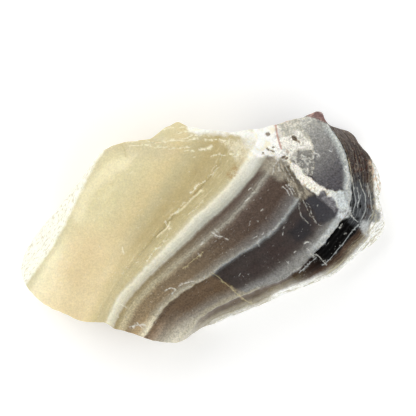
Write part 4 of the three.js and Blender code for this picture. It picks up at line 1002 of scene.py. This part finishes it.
class FinishTree:
    """A finish's node tree. A name given as a value is that of a mask, and as a colour that of a tone."""

    def __init__(self, made):
        self.made = made  # Blender's own node tree

    def fill(self, sockets, values):
        """Sets or links each of the sockets named."""
        for socket, value in values.items():
            if isinstance(value, bpy.types.NodeSocket):
                self.made.links.new(value, sockets[socket])
            else:
                sockets[socket].default_value = value

    def node(self, kind, values=None, **settings):
        """A node with its settings made, and its inputs set or linked."""
        made = self.made.nodes.new(kind)
        for name, value in settings.items():
            setattr(made, name, value)
        self.fill(made.inputs, values or {})
        return made

    def placed(self, shared, values=None):
        """What a node group gives back, placed in this tree."""
        return self.node("ShaderNodeGroup", values, node_tree=shared).outputs

    def mask(self, value):
        """The mask of that name, or the value itself where it is no name."""
        if not isinstance(value, str):
            return value
        return self.node("ShaderNodeAttribute", attribute_name=value.replace(" ", "_")).outputs["Fac"]

    def maths(self, operation, *values):
        values = {number: self.mask(value) for number, value in enumerate(values)}
        return self.node("ShaderNodeMath", values, operation=operation).outputs[0]

    def chain(self, operation, first, *others):
        """The same operation on one value after another."""
        for other in others:
            first = self.maths(operation, first, other)
        return first

    def product(self, *values):
        return self.chain("MULTIPLY", *values)

    def between(self, value, low, high):
        """0 below low, 1 above high."""
        values = {0: self.mask(value), 1: low, 2: high}
        return self.node("ShaderNodeMapRange", values, interpolation_type="SMOOTHSTEP").outputs[0]

    def fading(self, value, low, high):
        """1 below low, 0 above high."""
        return self.maths("SUBTRACT", 1.0, self.between(value, low, high))

    def within(self, value, low, full, going, gone):
        """1 from full to going, 0 below low and above gone."""
        return self.product(self.between(value, low, full), self.fading(value, going, gone))

    def noise(self, scale, detail=2.0, roughness=0.5, turn=0.0, stretch=1.0):
        """Noise over the stone. scale is in lumps per millimetre, stretch draws the lumps out along turn."""
        spot = self.node("ShaderNodeTexCoord").outputs["Object"]
        if stretch != 1:
            turned = {"Vector": spot, "Rotation": (0, 0, turn), "Scale": (stretch, 1, 1)}
            spot = self.node("ShaderNodeMapping", turned, vector_type="TEXTURE").outputs[0]
        values = {"Vector": spot, "Scale": scale / MM, "Detail": detail, "Roughness": roughness}
        return self.node("ShaderNodeTexNoise", values).outputs["Fac"]

    def patches(self, low, high, *grain, **drawn):
        """Patches where noise of that grain is high: 0 where it is below low, 1 above high."""
        return self.between(self.noise(*grain, **drawn), low, high)

    def swayed(self, value, reach, *grain):
        """A value that noise of that grain moves up and down."""
        return self.maths("MULTIPLY_ADD", self.maths("SUBTRACT", self.noise(*grain), 0.5), reach, value)

    def streaks(self, across, onward, detail, roughness=0.5):
        """Noise that follows the bands, with so many lumps across each band and along its length."""
        course = {0: self.product("growth", across), 1: self.product("along", onward)}
        course = self.node("ShaderNodeCombineXYZ", course).outputs[0]
        values = {"Vector": course, "Scale": 1.0, "Detail": detail, "Roughness": roughness}
        return self.node("ShaderNodeTexNoise", values).outputs["Fac"]

    def mixed(self, share, below, above, blend="MIX"):
        """Two colours mixed, above over below."""
        below, above = (tone(colour) if isinstance(colour, str) else colour for colour in (below, above))
        values = {0: self.mask(share), 6: below, 7: above}
        return self.node("ShaderNodeMix", values, data_type="RGBA", blend_type=blend).outputs[2]

    def greys(self, value, low, high):
        """A grey from low to high, to multiply a colour by."""
        values = {0: self.mask(value), 1: 0.3, 2: 0.7, 3: low, 4: high}
        made = self.node("ShaderNodeMapRange", values).outputs[0]
        return self.node("ShaderNodeCombineXYZ", {0: made, 1: made, 2: made}).outputs[0]

    def shaded(self, colour, value, low, high):
        """A colour made darker and lighter, by as much as the value says."""
        return self.mixed(1.0, colour, self.greys(value, low, high), "MULTIPLY")

    def ramp(self, value, stops):
        """A colour ramp over the growth coordinate."""
        made = self.node("ShaderNodeValToRGB", {0: self.maths("DIVIDE", value, LAST_GROWTH)})
        elements = made.color_ramp.elements
        elements[0].position, elements[0].color = stops[0][0] / LAST_GROWTH, tone(stops[0][1])
        elements[1].position, elements[1].color = stops[-1][0] / LAST_GROWTH, tone(stops[-1][1])
        for place, name in stops[1:-1]:
            elements.new(place / LAST_GROWTH).color = tone(name)
        return made.outputs["Color"]


def group(name, inputs, outputs):
    """An empty node group with named sockets: its tree, what it is given and what it gives back."""
    made = bpy.data.node_groups.new(name, "ShaderNodeTree")
    for way, sockets in (("INPUT", inputs), ("OUTPUT", outputs)):
        for socket in sockets:
            kind = "NodeSocketColor" if socket == "Color" else "NodeSocketFloat"
            made.interface.new_socket(socket, in_out=way, socket_type=kind)
    given = made.nodes.new("NodeGroupInput").outputs
    return FinishTree(made), given, made.nodes.new("NodeGroupOutput").inputs


# ---------------------------------------------------------------- what the stone's finishes share


def growth_bands():
    """The bands' colours from the clear end to the smoky one, with painted glow, sheen and shade at the
    ledges, and the thin layers of the last ones.
    """
    tree, _, result = group("growth bands", [], ["Color", "Layers"])
    stirred = tree.swayed("growth", 0.07, 0.9, 3.0)
    clear = tree.ramp(tree.maths("ADD", stirred, "early"), CLEAR_RAMP)
    colour = tree.mixed("smoke", clear, tree.ramp(stirred, SMOKY_RAMP))
    colour = tree.mixed("tip", colour, "rind cream")
    colour = tree.shaded(colour, "low end", 1.0, 1.6)
    # The rind is thicker above the right corner than below it.
    sooner = tree.product(tree.between(stirred, 10.4, 10.8), 0.2)
    sooner = tree.maths("MULTIPLY_ADD", sooner, "right side", stirred)
    colour = tree.mixed("side", colour, tree.ramp(sooner, SIDE_RAMP))
    # The upper side is umber, reddish in places and crumbly in others.
    umber = tree.mixed(tree.patches(0.5, 0.62, 1.3, 3.0, 0.6), "umber", "red umber")
    umber = tree.mixed(tree.between("along", 0.82, 0.92), umber, "dull umber")
    umber = tree.mixed(tree.product(tree.patches(0.53, 0.62, 1.7, 4.0, 0.7), 0.6), umber, "dun crumb")
    upper = tree.product("upper side", tree.within(stirred, 9.0, 9.14, 10.88, 11.1), 0.9)
    colour = tree.mixed(upper, colour, umber)
    inside_rind = tree.fading(stirred, 10.75, 11.0)
    # Patches of painted bluish-grey sheen on the dark layers inside the rind.
    sheen_patches = tree.product("grey sheen", tree.patches(0.3, 0.55, 0.7, 3.0), inside_rind, 0.9)
    colour = tree.mixed(sheen_patches, colour, "haze")
    # The white band is whitest at its upper end.
    white_band = tree.within(stirred, 5.1, 5.3, 5.6, 6.05)
    colour = tree.mixed(tree.product(white_band, tree.between("along", 0.6, 1.0), 0.8), colour, "rind")
    # At the stone's smoky end the last ledge's rim is painted as a pale strip, a painted glow where light
    # comes through the thin edge.
    crushed = tree.product(tree.between(stirred, 8.8, 8.9), tree.between("along", 0.48, 0.56))
    colour = tree.mixed(tree.product(crushed, tree.fading("growth", 8.98, 9.01), "smoke"), colour, "rim")
    # The dark bands are browner in some places than in others.
    peaty = tree.product(tree.within(stirred, 8.05, 8.2, 8.5, 8.7), "smoke", tree.patches(0.42, 0.62, 0.22))
    colour = tree.mixed(tree.product(peaty, 0.6), colour, "peat")
    # Faint streaks that follow the bands.
    faint = tree.greys(tree.streaks(7.0, 1.0, 2.0), 0.86, 1.1)
    shade = tree.mixed(tree.between("growth", 5.0, 6.0), WHITE, faint)
    colour = tree.mixed(1.0, colour, shade, "MULTIPLY")
    # The olive band is streaked with fine cream crests.
    crests = tree.between(tree.streaks(11.0, 16.0, 4.0, 0.65), 0.5, 0.68)
    crests = tree.product(crests, tree.within("growth", 3.5, 4.0, 4.8, 5.0), 0.3)
    colour = tree.mixed(crests, colour, "pale cream")
    # The side is split into dark and pale splinters, as far as the rind.
    shade = tree.mixed("side", WHITE, tree.greys(tree.streaks(9.0, 30.0, 4.0, 0.7), 0.25, 1.75))
    colour = tree.mixed(inside_rind, colour, tree.mixed(1.0, colour, shade, "MULTIPLY"))
    # Thin pale layers, each a little off its neighbours' course.
    part = tree.maths("FRACT", tree.product(tree.swayed("growth", 0.3, 0.35, 3.0), LAYERS_A_BAND))
    off = tree.maths("ABSOLUTE", tree.maths("SUBTRACT", part, 0.5))
    layers = tree.product(tree.fading(off, 0.03, 0.17), tree.patches(0.36, 0.52, 0.6))
    tree.fill(result, {"Color": colour, "Layers": layers})
    return tree.made


def stone_colours(bands):
    """The colour of every part of the stone, and masks for what is chalky and what is crushed."""
    tree, _, result = group("stone colours", [], ["Color", "Chalk", "Crushed"])
    banded = tree.placed(bands)
    colour = banded["Color"]

    def cover(mask, shade, strength):
        """Lays a shade over the colours so far."""
        nonlocal colour
        colour = tree.mixed(tree.product(mask, strength), colour, shade)

    pale = tree.mixed("upper side", "rim", "pale tan")
    cover(tree.product(banded["Layers"], "right side", tree.fading("growth", 10.7, 11.0)), pale, 0.2)
    colour = tree.shaded(colour, tree.noise(0.12), 0.98, 1.02)
    colour = tree.shaded(colour, tree.noise(0.6, 4.0, 0.6), 0.96, 1.04)

    # The disc is smoky to the lower right, and a painted highlight pales it towards the key lamp at the upper
    # left.
    place = tree.node("ShaderNodeTexCoord").outputs["Object"]
    x, y = tree.node("ShaderNodeSeparateXYZ", {0: place}).outputs[:2]
    towards_key = tree.maths("SUBTRACT", y, tree.product(x, 0.9))
    disc = tree.mixed(tree.between(towards_key, -13 * MM, 0.5 * MM), "dusk", "pewter")
    disc = tree.mixed(tree.between(towards_key, -1.5 * MM, 4 * MM), disc, "pale pewter")
    # The disc's pale right edge is a painted highlight.
    disc = tree.mixed(tree.product("disc rim highlight", 0.85), disc, "disc highlight")
    disc = tree.shaded(disc, tree.noise(2.6, 4.0, 0.75), 0.62, 1.4)
    # The druse is dingy towards the disc, and the vein grey at its far end.
    dingy = tree.mixed(tree.patches(0.36, 0.56, 1.2, 4.0, 0.6), "pale pewter", "vein")
    druse = tree.mixed(tree.patches(0.48, 0.66, 0.8, 3.0), "rind", "milk")
    druse = tree.mixed(tree.between(x, 11.5 * MM, 15 * MM), druse, dingy)
    vein = tree.mixed(tree.patches(0.54, 0.68, 1.3, 4.0, 0.65), "vein", "pale tan")
    vein = tree.mixed(tree.between(x, 20 * MM, 23.5 * MM), vein, "vein grey")
    mottled = tree.patches(0.42, 0.6, 1.0, 4.0, 0.65)
    drawn_out = tree.patches(0.4, 0.62, 0.9, 4.0, 0.65, turn=-1.0, stretch=2.5)
    sandy = tree.noise(1.5, 4.0, 0.7)
    for mask, shade, strength in (
        ("blush", "blush", 0.7),
        # The fold's pale cream is a painted highlight.
        ("highlit fold", "pale cream", 0.6),
        # The sloping facet's dark blue is painted shade.
        ("dark facet", "facet shade blue", 0.85),
        ("dark patch", "dark blue", 0.85),
        ("dull top", "pale tan", 0.35),
        ("disc foot", "plum", 0.9),
        ("white top", "rind", 0.85),
        ("pale root", "root grey", 0.72),
        ("wedge", tree.mixed(drawn_out, "wedge", "pale wedge"), 0.9),
        ("grey shoulder", tree.mixed(mottled, "dull shoulder", "shoulder"), 0.9),
        ("scuff", tree.mixed(mottled, "dark scuff", "scuffed"), 0.9),
        (tree.product("pale corner", tree.between(sandy, 0.3, 0.6)), "pale corner", 0.85),
        (tree.product("amber", tree.between(sandy, 0.35, 0.6)), "amber", 0.7),
        (tree.product("apricot", tree.patches(0.5, 0.62, 0.9, 3.0)), "apricot", 0.8),
        ("crushed corner", tree.mixed(mottled, "crushed", "pewter"), 0.85),
        ("chalk corner", "corner chalk", 0.6),
        ("dark tooth", "tooth", 0.8),
        ("disc scar", disc, 1.0),
        ("small scar", tree.mixed(tree.patches(0.45, 0.66, 1.6, 3.0), "dull ash", "pale pewter"), 0.85),
        ("nub", tree.mixed(tree.patches(0.42, 0.62, 0.7, 3.0), "nub", "pale nub"), 1.0),
        ("druse", druse, 1.0),
        ("vein", vein, 1.0),
        ("rust", "rust", 0.8),
        ("pit", "pit", 0.75),
        ("hairline", "hairline", 0.7),
        (tree.product("layer", tree.patches(0.3, 0.48, 1.1, 3.0, 0.6)), pale, 0.9),
        ("fold", "pale cream", 0.75),
    ):
        cover(mask, shade, strength)

    # A fine grain over everything, and pale specks where the break is not quite clean.
    dark = tree.between("growth", 5.8, 7.2)
    grain = tree.noise(3.2, 3.0, 0.75)
    grain = tree.mixed(dark, tree.greys(grain, 0.87, 1.12), tree.greys(grain, 0.6, 1.38))
    colour = tree.mixed(1.0, colour, grain, "MULTIPLY")
    specks = tree.patches(0.63, 0.74, 3.2, 2.0, turn=0.8, stretch=1.7)
    cover(tree.product(specks, tree.patches(0.43, 0.62, 0.3)), "bruise", 0.3)
    # Crushed marks are painted pale; on the worn ledge rims and the disc's raised edge this is partly a
    # painted glint where the edges catch the light.
    partly = (tree.product(*pair) for pair in (("scratch", 0.8), ("ridge", 0.55), ("worn and glinting rim", 0.5)))
    crushed = tree.product(tree.chain("MAXIMUM", "crest", "chip", *partly), tree.patches(0.32, 0.55, 2.6))
    cover(crushed, tree.mixed(dark, "crumb", "bruise"), 0.85)
    # The left facet is dotted with fine dark pits, and the rind streaked along its edge.
    dots = tree.fading(tree.noise(2.4, 2.0, turn=0.9, stretch=1.8), 0.36, 0.5)
    cover(tree.product(dots, "facet"), "olive", 0.45)
    rind = tree.between("growth", 10.5, 11.0)
    streaks = tree.patches(0.5, 0.64, 2.2, 4.0, 0.6, turn=0.62, stretch=9.0)
    outward = tree.maths("ADD", tree.fading("growth", 11.2, 11.8), 0.25)
    cover(tree.product(streaks, rind, outward), "streak", 0.75)
    chalk = tree.chain("MAXIMUM", rind, "druse", "facet", "vein")
    tree.fill(result, {"Color": colour, "Chalk": chalk, "Crushed": crushed})
    return tree.made


def stone_relief():
    """The fine relief, in millimetres, of a fresh break and of chalky stone, and how rough each is."""
    tree, given, result = group("stone relief", ["Chalk", "Crushed"], ["Height", "Roughness"])
    chalk, crushed = given["Chalk"], given["Crushed"]
    waxy = tree.product(tree.noise(1.8, 3.0), 0.035)
    chalky = tree.product(tree.noise(2.2, 5.0, 0.65), 0.13, chalk)
    crumbs = tree.product(tree.noise(5.0, 2.0), 0.1, crushed)
    uneven = tree.product(tree.noise(0.4, 3.0), 0.12)
    dull = tree.chain("ADD", 0.3, tree.product(chalk, 0.45), tree.product(crushed, 0.2), uneven)
    height = tree.chain("ADD", waxy, chalky, crumbs)
    tree.fill(result, {"Height": height, "Roughness": tree.maths("MINIMUM", dull, 0.9)})
    return tree.made


def finish(name, colours, relief, depth, scatter, shine):
    """A finish of the stone: how much light scatters in it, how deep, and how it shines."""
    material = bpy.data.materials.new(name)
    material.use_nodes = True
    tree = FinishTree(material.node_tree)
    coloured = tree.placed(colours)
    fine = tree.placed(relief, {"Chalk": coloured["Chalk"], "Crushed": coloured["Crushed"]})
    bumps = {"Height": fine["Height"], "Distance": MM, "Strength": RELIEF_STRENGTH}
    values = {
        "Base Color": coloured["Color"],
        "Roughness": fine["Roughness"],
        "Normal": tree.node("ShaderNodeBump", bumps).outputs["Normal"],
        "Subsurface Weight": scatter,
        "Subsurface Radius": SCATTER_TINT,
        "Subsurface Scale": depth * MM,
        "Specular IOR Level": shine,
        "IOR": CHALCEDONY_IOR,
    }
    tree.fill(material.node_tree.nodes["Principled BSDF"].inputs, values)
    return material


stone, stone_masks = build_stone()
colours = stone_colours(growth_bands())
relief = stone_relief()
for name, depth, scatter, shine in (
    ("chalcedony", 0.6, 0.4, 0.18),
    ("chalky rind", 0.4, 0.2, 0.12),
    ("dark layers", 0.3, 0.0, 0.02),
):
    stone.data.materials.append(finish(name, colours, relief, depth, scatter, shine))
growth = stone_masks["growth"]
chalky = np.maximum.reduce([smooth(10.6, 10.9, growth), stone_masks["facet"], stone_masks["druse"]])
dark = np.maximum(stone_masks["smoke"], stone_masks["side"]) * smooth(8.95, 9.05, growth)
dark *= 1 - smooth(10.5, 10.8, growth)
kinds = np.where(chalky > 0.5, 1, np.where(dark > 0.5, 2, 0))
faces = [kinds[list(polygon.vertices)] for polygon in stone.data.polygons]
stone.data.polygons.foreach_set("material_index", [int(np.median(kind)) for kind in faces])
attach(stone, "root")
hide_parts("agate_chunk")

# ---------------------------------------------------------------- table, light and camera

bpy.ops.mesh.primitive_plane_add(size=4, location=(0, 0, 0))
table = bpy.context.object
table.name = "table"
paper = bpy.data.materials.new("white paper")
paper.use_nodes = True
paper_values = {
    "Base Color": (0.98, 0.98, 0.98, 1),
    "Roughness": 0.9,
    "Emission Color": WHITE,
    "Emission Strength": 0.14,
}
FinishTree(paper.node_tree).fill(paper.node_tree.nodes["Principled BSDF"].inputs, paper_values)
table.data.materials.append(paper)

world = bpy.data.worlds.new("room")
bpy.context.scene.world = world
world.use_nodes = True
backdrop = world.node_tree.nodes["Background"]
FinishTree(world.node_tree).fill(backdrop.inputs, {"Color": WHITE, "Strength": 0.45})


def soft_box(name, place, size, power):
    """A square lamp that faces the stone."""
    lamp = bpy.data.lights.new(name, "AREA")
    lamp.shape = "SQUARE"
    lamp.size = size
    lamp.energy = power
    holder = bpy.data.objects.new(name, lamp)
    holder.location = place
    holder.rotation_euler = (-Vector(place)).to_track_quat("-Z", "Y").to_euler()
    bpy.context.collection.objects.link(holder)


soft_box("key", (-0.9, 0.9, 1.2), 1.8, 21)
soft_box("fill", (0.9, -0.8, 1.1), 2.2, 15)

PIXEL = 0.17  # millimetres to a pixel of the picture, at the stone's middle height
PICTURE_SIZE = 416  # pixels, each way
ORIGIN_PIXEL = (202.5, 227)  # where the frame's origin is in the picture
VIEW_HEIGHT = 15.0  # millimetres above the table, where the picture's scale holds
LENS, SENSOR = 400, 36

camera_data = bpy.data.cameras.new("camera")
camera_data.sensor_width = SENSOR
camera_data.lens = LENS
camera_data.clip_start = 0.01
camera = bpy.data.objects.new("camera", camera_data)
away = PICTURE_SIZE * PIXEL * LENS / SENSOR
east = (PICTURE_SIZE / 2 - ORIGIN_PIXEL[0]) * PIXEL
north = (ORIGIN_PIXEL[1] - PICTURE_SIZE / 2) * PIXEL
camera.location = (east * MM, north * MM, (VIEW_HEIGHT + away) * MM)
bpy.context.collection.objects.link(camera)
bpy.context.scene.camera = camera
bpy.context.scene.view_settings.view_transform = "Standard"
